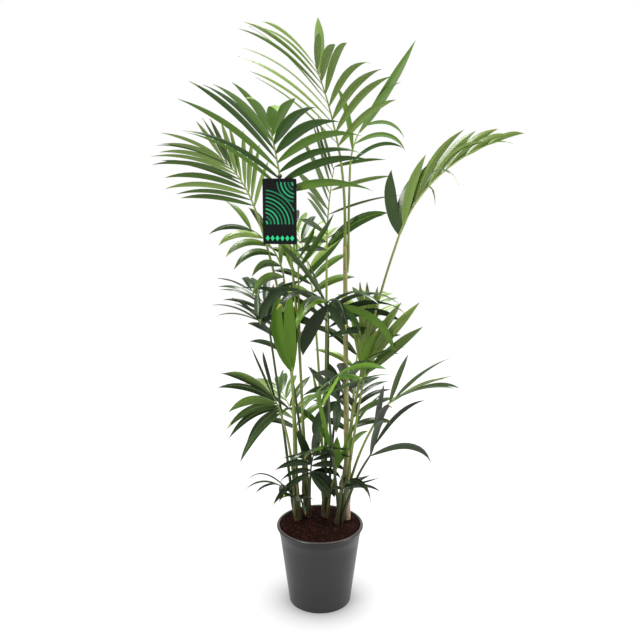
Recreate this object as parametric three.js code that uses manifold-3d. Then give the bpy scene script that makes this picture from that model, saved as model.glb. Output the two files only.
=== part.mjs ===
// A kentia palm in its nursery pot: five stems, their feather fronds, the potting soil, the pot
// and a hang tag. Millimetres and degrees, +Z up. The origin is the centre of the pot's flat
// underside, -Y is the front. Lean is measured from upright, heading from +X towards +Y.
import * as THREE from 'three';
import { mergeVertices } from 'three/addons/utils/BufferGeometryUtils.js';
import Module from 'manifold-3d';

const wasm = await Module();
wasm.setup();

// ---- driving dimensions ------------------------------------------------------------------
const GAP = 0.3; // air between neighbouring solids

const POT = {
  height: 230,
  rimRadius: 120,
  footRadius: 85.5,
  wall: 2.6,
  floor: 4,
  lipHeight: 9,
  lipReach: 5,
  footRound: 4,
};

const SOIL = { top: 228, crown: 1.2 };

// Stems stand on the soil: foot place, height, foot and top radius, lean towards a heading.
const STEMS = {
  left_front_stem: { x: -62, y: 27, height: 92, foot: 10.5, top: 7, lean: 2, heading: 180 },
  left_back_stem: { x: -34, y: 44, height: 96, foot: 10, top: 7, lean: 2, heading: 90 },
  middle_stem: { x: 14, y: 46, height: 98, foot: 10.5, top: 7.5, lean: 1, heading: 90 },
  right_front_stem: { x: 52, y: 4, height: 90, foot: 10.5, top: 7, lean: 4, heading: 0 },
  tall_cane: { x: 76, y: 30, height: 772, foot: 9, top: 5.6, lean: 0.8, heading: 190 },
};

// What a frond has unless its own entry says otherwise. The petiole leans from lean[0] to
// lean[1], and the blade on to lean[2]; swing turns the heading along the way. Leaflets stand
// off the rib by spread[0] at its foot to spread[1] at its tip, lifted into a V by lift, and
// turn rolls them about their own length. reach says how long a leaflet is at places along the
// rib, as a share of the leaflet entry. right and left are the two hands seen from above, looking
// out along the rib, and hold what differs there. odd lists leaflets that stand by themselves.
const FROND = {
  petioleFoot: 4.2,
  petioleTip: 2.7,
  ribTip: 1.3,
  swing: 0,
  roll: 0,
  pairs: 7,
  spread: [55, 20],
  lift: 10,
  droop: 50,
  width: 21,
  turn: 0,
  reach: [[0, 0.82], [0.4, 1], [0.7, 0.93], [1, 0.7]],
  right: {},
  left: {},
  odd: [],
};

const LEAF = { bright: 0x50782a, mid: 0x4b6440, dark: 0x2a3f28, young: 0x78962f };

const FRONDS = {
  top_frond: {
    stem: 'tall_cane', onTop: true, heading: 252, lean: [0, 34, 54], petiole: 262, blade: 265,
    petioleFoot: 3.8, roll: 2, seed: 80, colour: LEAF.mid,
    right: { pairs: 9, spread: [30, 12], lift: -4, droop: 36, leaflet: 305, turn: -62 },
    left: {
      pairs: 7, spread: [38, 15], lift: 0, droop: 46, leaflet: 310, width: 19,
      reach: [[0, 0.82], [0.4, 1], [0.7, 0.84], [1, 0.6]],
    },
    odd: [
      { at: 0.89, hand: -1, spread: 51, lift: 88, droop: 40, leaflet: 130, width: 25, turn: 34 },
    ],
  },
  top_right_frond: {
    stem: 'tall_cane', up: 0.97, side: 20, heading: 22, lean: [0, 2, 40], petiole: 225, blade: 125,
    swing: 10, petioleFoot: 3, roll: 75, seed: 90, colour: LEAF.bright,
    right: { pairs: 2, spread: [50, 14], lift: -4, droop: 54, leaflet: 200 },
    left: { pairs: 3, spread: [46, 34], lift: -10, droop: 92, leaflet: 195, width: 12 },
    odd: [
      { at: 0.75, hand: -1, spread: 6, lift: 0, droop: 6, leaflet: 285, width: 34 },
    ],
  },
  upper_middle_frond: {
    stem: 'left_back_stem', up: 0.8, side: 188, heading: 252, lean: [0, 38, 62], petiole: 895,
    blade: 250, swing: 14, roll: 17, seed: 28, colour: LEAF.bright, width: 26,
    right: { pairs: 8, spread: [42, 4], lift: -4, droop: 38, leaflet: 300, width: 19 },
    left: { pairs: 8, spread: [56, 8], lift: 8, droop: 44, leaflet: 305 },
  },
  upper_left_frond: {
    stem: 'left_front_stem', onTop: true, heading: 192, lean: [0, 20, 50], petiole: 795,
    blade: 160, swing: 22, roll: -42, seed: 80, colour: LEAF.mid, width: 13,
    right: { pairs: 11, spread: [56, 10], lift: -10, droop: 37, leaflet: 218 },
    left: { pairs: 9, spread: [36, 18], lift: -12, droop: 20, leaflet: 190 },
  },
  left_young_frond: {
    stem: 'left_front_stem', up: 0.85, side: 120, heading: 191, lean: [0, 6, 60], petiole: 606,
    blade: 170, swing: 15, roll: 50, seed: 28, colour: LEAF.mid,
    right: { pairs: 3, spread: [20, 45], lift: 15, droop: 90, leaflet: 145 },
    left: { pairs: 6, spread: [70, 8], lift: 3, droop: 70, leaflet: 177 },
  },
  centre_spear_frond: {
    stem: 'left_back_stem', onTop: true, heading: 245, lean: [10, 6, 64], petiole: 586, blade: 112,
    swing: 28, roll: 18, seed: 90, colour: LEAF.young,
    right: { pairs: 3, spread: [96, 10], lift: 55, droop: 0, leaflet: 150 },
    left: { pairs: 3, spread: [56, 13], lift: 54, droop: 3, leaflet: 185 },
    odd: [
      { at: 0.15, hand: 1, spread: 110, lift: -30, droop: 145, leaflet: 155, width: 24 },
    ],
  },
  upper_back_frond: {
    stem: 'middle_stem', onTop: true, heading: 84, lean: [2, 0, 16], petiole: 655, blade: 223,
    swing: -36, roll: -60, width: 17, seed: 90, colour: LEAF.mid,
    right: { pairs: 4, spread: [65, 70], lift: 33, droop: 12, leaflet: 190, turn: 60 },
    left: { pairs: 11, spread: [79, 51], lift: 50, droop: 14, leaflet: 280 },
    odd: [
      { at: 0.05, hand: 1, spread: 38, lift: 33, droop: 50, leaflet: 185, width: 31 },
    ],
  },
  right_arching_frond: {
    stem: 'right_front_stem', onTop: true, heading: -8, lean: [7, 18, 67], petiole: 728,
    blade: 325, swing: -6, width: 26, reach: [[0, 0.85], [0.3, 1], [1, 0.42]], seed: 90,
    colour: LEAF.mid,
    right: { pairs: 6, spread: [18, 9], lift: 88, droop: 52, leaflet: 215, width: 23 },
    left: { pairs: 4, spread: [14, 6], lift: 84, droop: 66, leaflet: 185, width: 20 },
    odd: [
      { at: 0.02, hand: -1, spread: 38, lift: 86, droop: -45, leaflet: 172, width: 32 },
      { at: 0.03, hand: -1, spread: 17, lift: 81, droop: 165, leaflet: 225, width: 40 },
      { at: 0.09, hand: -1, spread: 23, lift: 44, droop: 265, leaflet: 272, width: 16 },
      { at: 0.25, hand: 1, spread: 33, lift: 17, droop: 123, leaflet: 310, width: 14 },
      { at: 0.51, hand: 1, spread: 22, lift: 85, droop: 116, leaflet: 170, width: 8 },
    ],
  },
  left_small_frond: {
    stem: 'left_front_stem', up: 0.6, side: 190, heading: 189, lean: [6, 8, 72], petiole: 478,
    blade: 58, swing: -28, roll: 10, seed: 28, colour: LEAF.dark,
    right: { pairs: 3, spread: [50, 58], lift: 26, droop: 6, leaflet: 150 },
    left: { pairs: 4, spread: [38, 6], lift: 24, droop: 56, leaflet: 158 },
  },
  split_leaf_frond: {
    stem: 'left_front_stem', up: 0.55, side: 290, heading: 240, lean: [7, 5, 14], petiole: 394,
    blade: 100, swing: 30, roll: 8, pairs: 0, seed: 199, colour: LEAF.young,
    odd: [
      { at: 0.05, hand: 1, spread: 23, lift: -27, droop: -76, leaflet: 223, width: 28 },
      { at: 0.05, hand: -1, spread: 6, lift: -84, droop: -20, leaflet: 231, width: 38 },
      { at: 0.15, hand: 1, spread: 12, lift: 30, droop: 8, leaflet: 190, width: 30 },
      { at: 0.13, hand: -1, spread: 3, lift: 0, droop: 0, leaflet: 170, width: 24 },
    ],
  },
  centre_dark_frond: {
    stem: 'middle_stem', up: 0.7, side: 270, heading: 292, lean: [3, 10, 68], petiole: 465,
    blade: 168, swing: -28, roll: 5, width: 26, seed: 19, colour: LEAF.dark,
    right: { pairs: 5, spread: [72, 14], lift: 20, droop: 80, leaflet: 255 },
    left: { pairs: 6, spread: [70, 20], lift: 22, droop: 110, leaflet: 235 },
    odd: [
      { at: 0.94, hand: 1, spread: 24, lift: 2, droop: 160, leaflet: 165, width: 28, turn: -45 },
      { at: 0.95, hand: -1, spread: 110, lift: -10, droop: 150, leaflet: 135, width: 18, turn: 40 },
      { at: 0.8, hand: -1, spread: 110, lift: 10, droop: 190, leaflet: 265, width: 18, turn: 60 },
      { at: 0.83, hand: 1, spread: 42, lift: 50, droop: 40, leaflet: 220, width: 15, turn: -45 },
      { at: 0.6, hand: 1, spread: 40, lift: 60, droop: 20, leaflet: 150, width: 22, turn: -20 },
      { at: 0.8, hand: 1, spread: 110, lift: -45, droop: 50, leaflet: 145, width: 36, turn: 40 },
      { at: 0.8, hand: -1, spread: 110, lift: -40, droop: 150, leaflet: 90, width: 28, turn: 80 },
    ],
  },
  right_middle_frond: {
    stem: 'right_front_stem', up: 0.75, side: 335, heading: 347, lean: [7, 9, 11], petiole: 355,
    blade: 76, swing: 9, roll: -60, seed: 33, colour: LEAF.mid, width: 26,
    right: { pairs: 3, spread: [40, 16], lift: -14, droop: 12, leaflet: 226 },
    left: { pairs: 4, spread: [26, 4], lift: -4, droop: 4, leaflet: 232 },
    odd: [
      { at: 0.03, hand: -1, spread: 17, lift: -3, droop: 60, leaflet: 185, width: 20, turn: -27 },
      { at: 0.02, hand: 1, spread: 4, lift: 50, droop: 17, leaflet: 145, width: 38, turn: 38 },
      { at: 0.04, hand: -1, spread: 17, lift: -20, droop: 0, leaflet: 250, width: 11, turn: -36 },
    ],
  },
  front_bright_frond: {
    stem: 'right_front_stem', up: 0.6, side: 250, heading: 245, lean: [15, 38, 75], petiole: 410,
    blade: 190, swing: 38, roll: -28, seed: 90, colour: LEAF.bright,
    right: { pairs: 3, spread: [46, 46], lift: -12, droop: 24, leaflet: 170 },
    left: { pairs: 3, spread: [60, 5], lift: -9, droop: 40, leaflet: 180 },
    odd: [
      { at: 0.52, hand: -1, spread: 21, lift: -40, droop: 36, leaflet: 131, width: 13, turn: -55 },
      { at: 0.78, hand: -1, spread: 40, lift: 0, droop: 61, leaflet: 157, width: 13, turn: -38 },
      { at: 0.3, hand: 1, spread: 37, lift: -20, droop: 98, leaflet: 72, width: 13 },
    ],
  },
  left_fan_frond: {
    stem: 'left_front_stem', up: 0.3, side: 240, heading: 198, lean: [1, 17, 28], petiole: 297,
    blade: 58, swing: 5, roll: 36, seed: 28, colour: LEAF.mid,
    right: { pairs: 3, spread: [84, 30], lift: -7, droop: 20, leaflet: 200 },
    left: { pairs: 8, spread: [80, 18], lift: -6, droop: 40, leaflet: 260 },
  },
  left_low_frond: {
    stem: 'left_front_stem', up: 0.08, side: 300, heading: 210, lean: [13, 16, 56], petiole: 48,
    blade: 82, width: 16, seed: 204, colour: LEAF.dark,
    right: { pairs: 3, spread: [90, 8], lift: 15, droop: 112, leaflet: 158 },
    left: { pairs: 3, spread: [51, 8], lift: 16, droop: 97, leaflet: 140 },
    odd: [
      { at: 0.26, hand: -1, spread: 9, lift: -70, droop: 200, leaflet: 63, width: 13, turn: -34 },
      { at: 0.12, hand: -1, spread: 42, lift: 17, droop: 190, leaflet: 108, width: 15, turn: 22 },
    ],
  },
  right_spreading_frond: {
    stem: 'right_front_stem', up: 0.45, side: 30, heading: 354, lean: [11, 35, 62], petiole: 328,
    blade: 50, roll: 42, width: 20, seed: 205, colour: LEAF.mid,
    right: { pairs: 3, spread: [45, 10], lift: 5, droop: 34, leaflet: 215 },
    left: { pairs: 3, spread: [40, 34], lift: 14, droop: 45, leaflet: 245 },
  },
  right_low_frond: {
    stem: 'right_front_stem', up: 0.2, side: 310, heading: 346, lean: [14, 31, 8], petiole: 200,
    blade: 50, swing: -4, roll: 36, width: 26, seed: 28, colour: LEAF.dark,
    right: { pairs: 3, spread: [30, 8], lift: -3, droop: 97, leaflet: 300 },
    left: { pairs: 2, spread: [60, 15], lift: 5, droop: 96, leaflet: 244 },
  },
  low_bright_frond: {
    stem: 'middle_stem', up: 0.15, side: 300, heading: 299, lean: [10, 36, 3], petiole: 138,
    blade: 54, swing: -14, roll: -4, pairs: 0, seed: 33, colour: LEAF.young,
    odd: [
      { at: 0.95, hand: 1, spread: 25, lift: 65, droop: 269, leaflet: 298, width: 22 },
      { at: 0.95, hand: 1, spread: 25, lift: -27, droop: 100, leaflet: 140, width: 14, turn: 12 },
      { at: 0.58, hand: 1, spread: 4, lift: 16, droop: 0, leaflet: 107, width: 24, turn: -18 },
      { at: 0.6, hand: -1, spread: 43, lift: 44, droop: 110, leaflet: 150, width: 16, turn: 36 },
      { at: 0.8, hand: -1, spread: 28, lift: 31, droop: 62, leaflet: 240, width: 9, turn: 31 },
      { at: 0.55, hand: 1, spread: 19, lift: 48, droop: 0, leaflet: 320, width: 13 },
    ],
  },
  low_star_frond: {
    stem: 'right_front_stem', up: 0.05, side: 255, heading: 300, lean: [8, 16, 50], petiole: 95,
    blade: 60, pairs: 2, spread: [75, 20], lift: 10, droop: 70, width: 15, leaflet: 90, seed: 7,
    colour: LEAF.dark,
    odd: [
      { at: 0.42, hand: -1, spread: 5, lift: -54, droop: 200, leaflet: 158, width: 15, turn: -70 },
      { at: 0.55, hand: -1, spread: 110, lift: 60, droop: 130, leaflet: 175, width: 20 },
      { at: 0.5, hand: -1, spread: 46, lift: -8, droop: 0, leaflet: 83, width: 10, turn: 72 },
      { at: 0.53, hand: -1, spread: 74, lift: -13, droop: 0, leaflet: 103, width: 9, turn: 19 },
      { at: 0.66, hand: -1, spread: 92, lift: -7, droop: 39, leaflet: 129, width: 9, turn: 44 },
    ],
  },
  low_dark_frond: {
    stem: 'left_back_stem', up: 0.25, side: 285, heading: 285, lean: [5, 12, 58], petiole: 118,
    blade: 125, pairs: 6, spread: [80, 15], lift: 4, droop: 70, width: 27, leaflet: 118, seed: 12,
    colour: LEAF.dark,
    odd: [
      { at: 0.05, hand: -1, spread: 110, lift: -20, droop: 90, leaflet: 110, width: 36, turn: 25 },
      { at: 0.3, hand: 1, spread: 23, lift: 5, droop: 0, leaflet: 155, width: 20, turn: 28 },
      { at: 0.03, hand: 1, spread: 110, lift: 0, droop: 20, leaflet: 75, width: 11, turn: 32 },
      { at: 0.6, hand: -1, spread: 110, lift: 66, droop: 0, leaflet: 185, width: 31, turn: 73 },
      { at: 0.04, hand: 1, spread: 105, lift: -4, droop: 62, leaflet: 135, width: 28 },
      { at: 0.02, hand: -1, spread: 125, lift: -30, droop: 50, leaflet: 95, width: 30 },
    ],
  },
  inner_dark_frond: {
    stem: 'middle_stem', up: 0.5, side: 320, heading: 318, lean: [3, 10, 48], petiole: 300,
    blade: 130, pairs: 5, spread: [58, 16], lift: 12, droop: 75, width: 23, leaflet: 185, seed: 15,
    colour: LEAF.dark,
    odd: [
      { at: 0.05, hand: 1, spread: 110, lift: -38, droop: 200, leaflet: 94, width: 23, turn: 90 },
      { at: 0.03, hand: 1, spread: 110, lift: 15, droop: 60, leaflet: 113, width: 28, turn: 20 },
      { at: 0.17, hand: 1, spread: 29, lift: 33, droop: 0, leaflet: 111, width: 28, turn: 12 },
      { at: 0.15, hand: -1, spread: 110, lift: 0, droop: 165, leaflet: 150, width: 20, turn: -20 },
      { at: 0.11, hand: 1, spread: 53, lift: -6, droop: 0, leaflet: 210, width: 20, turn: -12 },
    ],
  },
  back_high_frond: {
    stem: 'middle_stem', up: 0.8, side: 115, heading: 112, lean: [3, 15, 62], petiole: 540,
    blade: 240, pairs: 8, spread: [58, 22], lift: 25, droop: 55, leaflet: 150, seed: 41,
    colour: LEAF.mid,
  },
  back_right_frond: {
    stem: 'tall_cane', up: 0.1, side: 60, heading: 74, lean: [4, 20, 68], petiole: 340, blade: 240,
    pairs: 7, spread: [58, 22], lift: 22, droop: 55, leaflet: 150, seed: 42, colour: LEAF.mid,
  },
  back_left_frond: {
    stem: 'left_back_stem', up: 0.6, side: 130, heading: 132, lean: [4, 20, 68], petiole: 400,
    blade: 240, pairs: 7, spread: [58, 22], lift: 22, droop: 55, leaflet: 165, seed: 43,
    colour: LEAF.dark,
  },
  back_low_right_frond: {
    stem: 'tall_cane', up: 0.03, side: 100, heading: 80, lean: [8, 32, 74], petiole: 210,
    blade: 170, pairs: 6, spread: [60, 22], lift: 20, droop: 60, leaflet: 145, seed: 44,
    colour: LEAF.dark,
  },
  back_low_left_frond: {
    stem: 'left_back_stem', up: 0.2, side: 85, heading: 118, lean: [8, 32, 74], petiole: 220,
    blade: 170, pairs: 6, spread: [60, 22], lift: 20, droop: 60, leaflet: 145, seed: 45,
    colour: LEAF.mid,
  },
};

const TAG = {
  width: 78,
  height: 150,
  thick: 1.6,
  corner: 4,
  frond: 'upper_middle_frond',
  seat: 0.245, // share of the blade's length at which the strap rings the rib
  strap: 4,
  ring: 2.4,
  standOff: 8,
  turn: -4,
};

const COLOURS = {
  pot: 0x484646,
  soil: 0x3c1e19,
  stem: 0x66703a,
  cane: 0x7a7446,
  petiole: 0x8c9b46,
  tag: 0x1c201f,
};

// ---- small helpers -----------------------------------------------------------------------
const RAD = Math.PI / 180;
const RIGHT = new THREE.Vector3(1, 0, 0);
const UP = new THREE.Vector3(0, 0, 1);
const DOWN = new THREE.Vector3(0, 0, -1);

function seeded(seed) {
  let state = seed;
  return () => {
    state = (state + 0x6d2b79f5) | 0;
    let mix = Math.imul(state ^ (state >>> 15), state | 1);
    mix ^= mix + Math.imul(mix ^ (mix >>> 7), mix | 61);
    return ((mix ^ (mix >>> 14)) >>> 0) / 4294967296;
  };
}

function mixed(from, to, share) {
  return from + (to - from) * share;
}

// A piecewise straight profile: stops are [place, value] pairs.
function profile(stops, place) {
  for (let i = 1; i < stops.length; i += 1) {
    const [a, low] = stops[i - 1];
    const [b, high] = stops[i];
    if (place <= b) return mixed(low, high, (place - a) / (b - a));
  }
  return stops[stops.length - 1][1];
}

function direction(lean, heading) {
  const t = lean * RAD;
  const h = heading * RAD;
  return new THREE.Vector3(Math.sin(t) * Math.cos(h), Math.sin(t) * Math.sin(h), Math.cos(t));
}

function flatHeading(heading) {
  return direction(90, heading);
}

// The part of a vector that is square to a unit direction, at unit length.
function squareTo(vector, axis) {
  return vector.clone().addScaledVector(axis, -vector.dot(axis)).normalize();
}

// A closed body through rings of points, one ring per station, with flat ends.
function skin(rings) {
  const sides = rings[0].length;
  const positions = [];
  rings.flat().forEach((point) => positions.push(point.x, point.y, point.z));
  const index = [];
  const at = (ring, side) => ring * sides + (side % sides);
  for (let ring = 0; ring + 1 < rings.length; ring += 1) {
    for (let side = 0; side < sides; side += 1) {
      index.push(at(ring, side), at(ring, side + 1), at(ring + 1, side + 1));
      index.push(at(ring, side), at(ring + 1, side + 1), at(ring + 1, side));
    }
  }
  const last = rings.length - 1;
  for (let side = 1; side + 1 < sides; side += 1) {
    index.push(at(0, 0), at(0, side + 1), at(0, side));
    index.push(at(last, 0), at(last, side), at(last, side + 1));
  }
  const geometry = new THREE.BufferGeometry();
  geometry.setAttribute('position', new THREE.Float32BufferAttribute(positions, 3));
  geometry.setIndex(index);
  return geometry;
}

// Tangents at the points of a polyline.
function tangents(points) {
  return points.map((point, i) => {
    const before = points[Math.max(0, i - 1)];
    const after = points[Math.min(points.length - 1, i + 1)];
    return after.clone().sub(before).normalize();
  });
}

function every(stride, points) {
  return points.filter((_, i) => i % stride === 0);
}

// A tapering limb along a polyline: one corner of its section points along crest. Its ends are
// cut square, or its foot square to footAxis.
function limb(points, radius, sides, crest, footAxis = null) {
  const along = tangents(points);
  if (footAxis) along[0].copy(footAxis);
  const rings = points.map((point, i) => {
    const across = squareTo(crest, along[i]);
    const other = along[i].clone().cross(across);
    const r = radius(i / (points.length - 1));
    return Array.from({ length: sides }, (_, side) => {
      const turn = (2 * Math.PI * side) / sides;
      const corner = point.clone().addScaledVector(across, r * Math.cos(turn));
      return corner.addScaledVector(other, r * Math.sin(turn));
    });
  });
  return skin(rings);
}

// Merges shared corners and drops the faces that close up to nothing at a leaf's tip.
function toSolid(geometry) {
  const bare = geometry.clone();
  bare.deleteAttribute('normal');
  bare.deleteAttribute('uv');
  const whole = mergeVertices(bare, 1e-4);
  const corners = whole.index.array;
  const kept = [];
  for (let i = 0; i < corners.length; i += 3) {
    const [a, b, c] = corners.slice(i, i + 3);
    if (a !== b && b !== c && c !== a) kept.push(a, b, c);
  }
  return new wasm.Manifold(new wasm.Mesh({
    numProp: 3,
    vertProperties: new Float32Array(whole.attributes.position.array),
    triVerts: new Uint32Array(kept),
  }));
}

function toGeometry(solid) {
  const mesh = solid.getMesh();
  const geometry = new THREE.BufferGeometry();
  geometry.setAttribute('position', new THREE.BufferAttribute(mesh.vertProperties, 3));
  geometry.setIndex(new THREE.BufferAttribute(mesh.triVerts, 1));
  return geometry;
}

const group = new THREE.Group();

function place(name, geometry, colour, roughness) {
  const shaded = geometry.index ? geometry.toNonIndexed() : geometry;
  shaded.computeVertexNormals();
  const material = new THREE.MeshStandardMaterial({ color: colour, roughness, metalness: 0 });
  const mesh = new THREE.Mesh(shaded, material);
  mesh.name = name;
  group.add(mesh);
  return mesh;
}

// ---- room: which space is taken, so that a leaflet can give way ----------------------------
const taken = [];

function claim(owner, solid) {
  const box = solid.boundingBox();
  taken.push({ owner, solid, box });
}

function apart(a, b) {
  return [0, 1, 2].some((axis) => a.max[axis] < b.min[axis] || b.max[axis] < a.min[axis]);
}

function isFree(owner, solid) {
  const box = solid.boundingBox();
  return taken.every((other) => {
    if (other.owner === owner || apart(box, other.box)) return true;
    return solid.intersect(other.solid).isEmpty();
  });
}

// ---- pot and soil ------------------------------------------------------------------------
const TURN_STEPS = 36;

function potRadius(z) {
  const shoulder = POT.rimRadius - POT.lipReach;
  return mixed(POT.footRadius, shoulder, z / POT.height);
}

function buildPot() {
  const { height, wall, floor, lipHeight, lipReach, footRound, rimRadius } = POT;
  const lipFoot = height - lipHeight;
  const shape = new THREE.Shape();
  shape.moveTo(0, 0);
  shape.lineTo(POT.footRadius - footRound, 0);
  shape.quadraticCurveTo(POT.footRadius, 0, potRadius(footRound), footRound);
  shape.lineTo(potRadius(lipFoot), lipFoot);
  shape.lineTo(rimRadius - lipReach / 4, lipFoot + lipHeight / 5);
  shape.quadraticCurveTo(rimRadius + 0.4, height - lipHeight / 3, rimRadius - lipReach / 2, height);
  shape.lineTo(potRadius(height) - wall, height);
  shape.lineTo(potRadius(floor) - wall, floor);
  shape.lineTo(0, floor);
  place('pot', turned(shape.getPoints(3)), COLOURS.pot, 0.45);
}

// A turned body, its outline given as radius and height.
function turned(outline) {
  const points = outline.map((point) => new THREE.Vector2(Math.max(0, point.x), point.y));
  return new THREE.LatheGeometry(points, TURN_STEPS).rotateX(Math.PI / 2);
}

function buildSoil() {
  const foot = POT.floor + GAP;
  const shape = new THREE.Shape();
  shape.moveTo(0, foot);
  shape.lineTo(potRadius(foot) - POT.wall - GAP, foot);
  shape.lineTo(potRadius(SOIL.top - SOIL.crown) - POT.wall - GAP, SOIL.top - SOIL.crown);
  shape.lineTo(potRadius(SOIL.top) - POT.wall - GAP - 2 * SOIL.crown, SOIL.top);
  shape.lineTo(0, SOIL.top);
  place('potting_soil', turned(shape.getPoints(1)), COLOURS.soil, 0.95);
}

// ---- stems -------------------------------------------------------------------------------
const STEM_STEPS = 4;

function stemPoint(stem, share) {
  const foot = new THREE.Vector3(stem.x, stem.y, SOIL.top + GAP);
  return foot.addScaledVector(direction(stem.lean, stem.heading), stem.height * share);
}

function stemRadius(stem, share) {
  const swollenFoot = 1.5 * Math.max(0, 1 - share / 0.2);
  return mixed(stem.foot, stem.top, share) + swollenFoot;
}

function buildStem(name) {
  const stem = STEMS[name];
  const steps = stem.height > 300 ? 2 * STEM_STEPS : STEM_STEPS;
  const points = Array.from({ length: steps + 1 }, (_, i) => stemPoint(stem, i / steps));
  const geometry = limb(points, (share) => stemRadius(stem, share), 12, RIGHT, UP);
  claim(name, toSolid(geometry));
  place(name, geometry, name === 'tall_cane' ? COLOURS.cane : COLOURS.stem, 0.7);
}

// ---- fronds: the path of petiole and rib ---------------------------------------------------
const PETIOLE_STEPS = 10;
const RIB_STEPS = 16;
const RIB_STRIDE = 2; // steps to a straight stretch of the solid rib
const PETIOLE_EASE = 1.5;

// The petiole's foot stands beside its stem, or on its top where the entry says so.
function footPoint(spec) {
  const stem = STEMS[spec.stem];
  const centre = stemPoint(stem, spec.onTop ? 1 : spec.up);
  if (spec.onTop) return centre.addScaledVector(direction(stem.lean, stem.heading), GAP);
  const clear = stemRadius(stem, spec.up) + spec.petioleFoot + GAP;
  return centre.addScaledVector(flatHeading(spec.side), clear);
}

function walk(start, length, steps, leanAt, headingAt) {
  const points = [start];
  for (let i = 0; i < steps; i += 1) {
    const share = (i + 0.5) / steps;
    const step = direction(leanAt(share), headingAt(share)).multiplyScalar(length / steps);
    points.push(points[i].clone().add(step));
  }
  return points;
}

function frondPath(spec) {
  const total = spec.petiole + spec.blade;
  const [foot, neck, tip] = spec.lean;
  const petiole = walk(
    footPoint(spec),
    spec.petiole,
    PETIOLE_STEPS,
    (share) => mixed(foot, neck, share ** PETIOLE_EASE),
    (share) => spec.heading + (spec.swing * share * spec.petiole) / total,
  );
  const rib = walk(
    petiole[PETIOLE_STEPS].clone().addScaledVector(direction(neck, neckHeading(spec)), GAP),
    spec.blade,
    RIB_STEPS,
    (share) => mixed(neck, tip, share),
    (share) => headingAlong(spec, share),
  );
  return { petiole, rib };
}

// A petiole's foot turns a corner of its section to the stem, or sits square on the stem's top.
function buildPetiole(spec, petiole) {
  const stem = STEMS[spec.stem];
  const crest = spec.onTop ? RIGHT : flatHeading(spec.side + 180);
  const seat = spec.onTop ? direction(stem.lean, stem.heading) : null;
  const radius = (share) => mixed(spec.petioleFoot, spec.petioleTip, share);
  return limb(every(2, petiole), radius, 5, crest, seat);
}

function neckHeading(spec) {
  return headingAlong(spec, 0);
}

function headingAlong(spec, share) {
  const total = spec.petiole + spec.blade;
  return spec.heading + (spec.swing * (spec.petiole + share * spec.blade)) / total;
}

// The rib's point, direction, side and upper face at a share of the blade's length.
function ribFrame(spec, rib, share) {
  const place = share * RIB_STEPS;
  const low = Math.min(RIB_STEPS - 1, Math.floor(place));
  const point = rib[low].clone().lerp(rib[low + 1], place - low);
  const heading = headingAlong(spec, share);
  const along = direction(mixed(spec.lean[1], spec.lean[2], share), heading);
  const level = flatHeading(heading - 90);
  const face = level.clone().cross(along);
  const roll = spec.roll * RAD;
  const side = level.clone().multiplyScalar(Math.cos(roll)).addScaledVector(face, Math.sin(roll));
  const upper = face.clone().multiplyScalar(Math.cos(roll)).addScaledVector(level, -Math.sin(roll));
  return { point, along, side, upper };
}

// ---- leaflets ----------------------------------------------------------------------------
const LEAF_STEPS = 10;
const LEAF_STATIONS = [0, 3, 6, 10];
const LEAF_WIDTH = [
  [0, 0.16],
  [0.12, 0.62],
  [0.35, 0.97],
  [0.6, 1],
  [0.8, 0.72],
  [0.93, 0.3],
  [1, 0],
];
const LEAF_THICK = 0.012; // of its length
const ROOT_THIN = 0.5; // of that, where the leaflet is sunk in the rib
const ROOT_SHIFT = 0.5; // mm from the rib's middle
const GIVE_WAY = [0, 7, -7, 14, -14]; // degrees of lift tried to keep clear of the rest
const FIRST_PAIR = 0.25; // of the pairs' spacing, above the foot of the rib
const STAGGER = 0.3; // of the pairs' spacing, between the two of a pair
const FULL_REACH = [[0, 1], [1, 1]];
const DRAWS = 6; // seeded draws to each leaflet

// One leaflet's centre line and widths: it leaves the rib at its spread and droops outward.
function leafletLine(spec, rib, share, hand, draw, lift) {
  const { point, along, side, upper } = ribFrame(spec, rib, share);
  const spread = mixed(spec.spread[0], spec.spread[1], share) * RAD * (1 + 0.14 * (draw[0] - 0.5));
  const raised = (lift + 10 * (draw[1] - 0.5)) * RAD;
  const outward = side.clone().multiplyScalar(hand * Math.cos(raised));
  outward.addScaledVector(upper, Math.sin(raised));
  const start = along.clone().multiplyScalar(Math.cos(spread));
  start.addScaledVector(outward, Math.sin(spread));
  const length = spec.leaflet * profile(spec.reach, share) * (1 + 0.12 * (draw[2] - 0.5));
  const across = spread < 8 * RAD ? squareTo(side, start) : squareTo(along, start);
  across.applyAxisAngle(start, spec.turn * RAD * hand);
  const hinge = start.clone().cross(DOWN).normalize();
  const slope = Math.sqrt(Math.max(0, 1 - start.z * start.z));
  const upmost = 0.96 * Math.acos(-start.z);
  const pull = spec.droop * RAD * (0.45 + 0.55 * slope) * (1 + 0.5 * (draw[3] - 0.5));
  const droop = Math.min(upmost, pull);
  const broad = spec.width * (0.85 + 0.3 * draw[4]) * Math.sqrt(profile(spec.reach, share));
  const points = [point.clone().addScaledVector(side, hand * ROOT_SHIFT)];
  for (let i = 0; i < LEAF_STEPS; i += 1) {
    const bend = droop * ((i + 0.5) / LEAF_STEPS) ** 1.5;
    const step = start.clone().applyAxisAngle(hinge, bend).multiplyScalar(length / LEAF_STEPS);
    points.push(points[i].clone().add(step));
  }
  return { points, across, length, broad };
}

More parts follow.
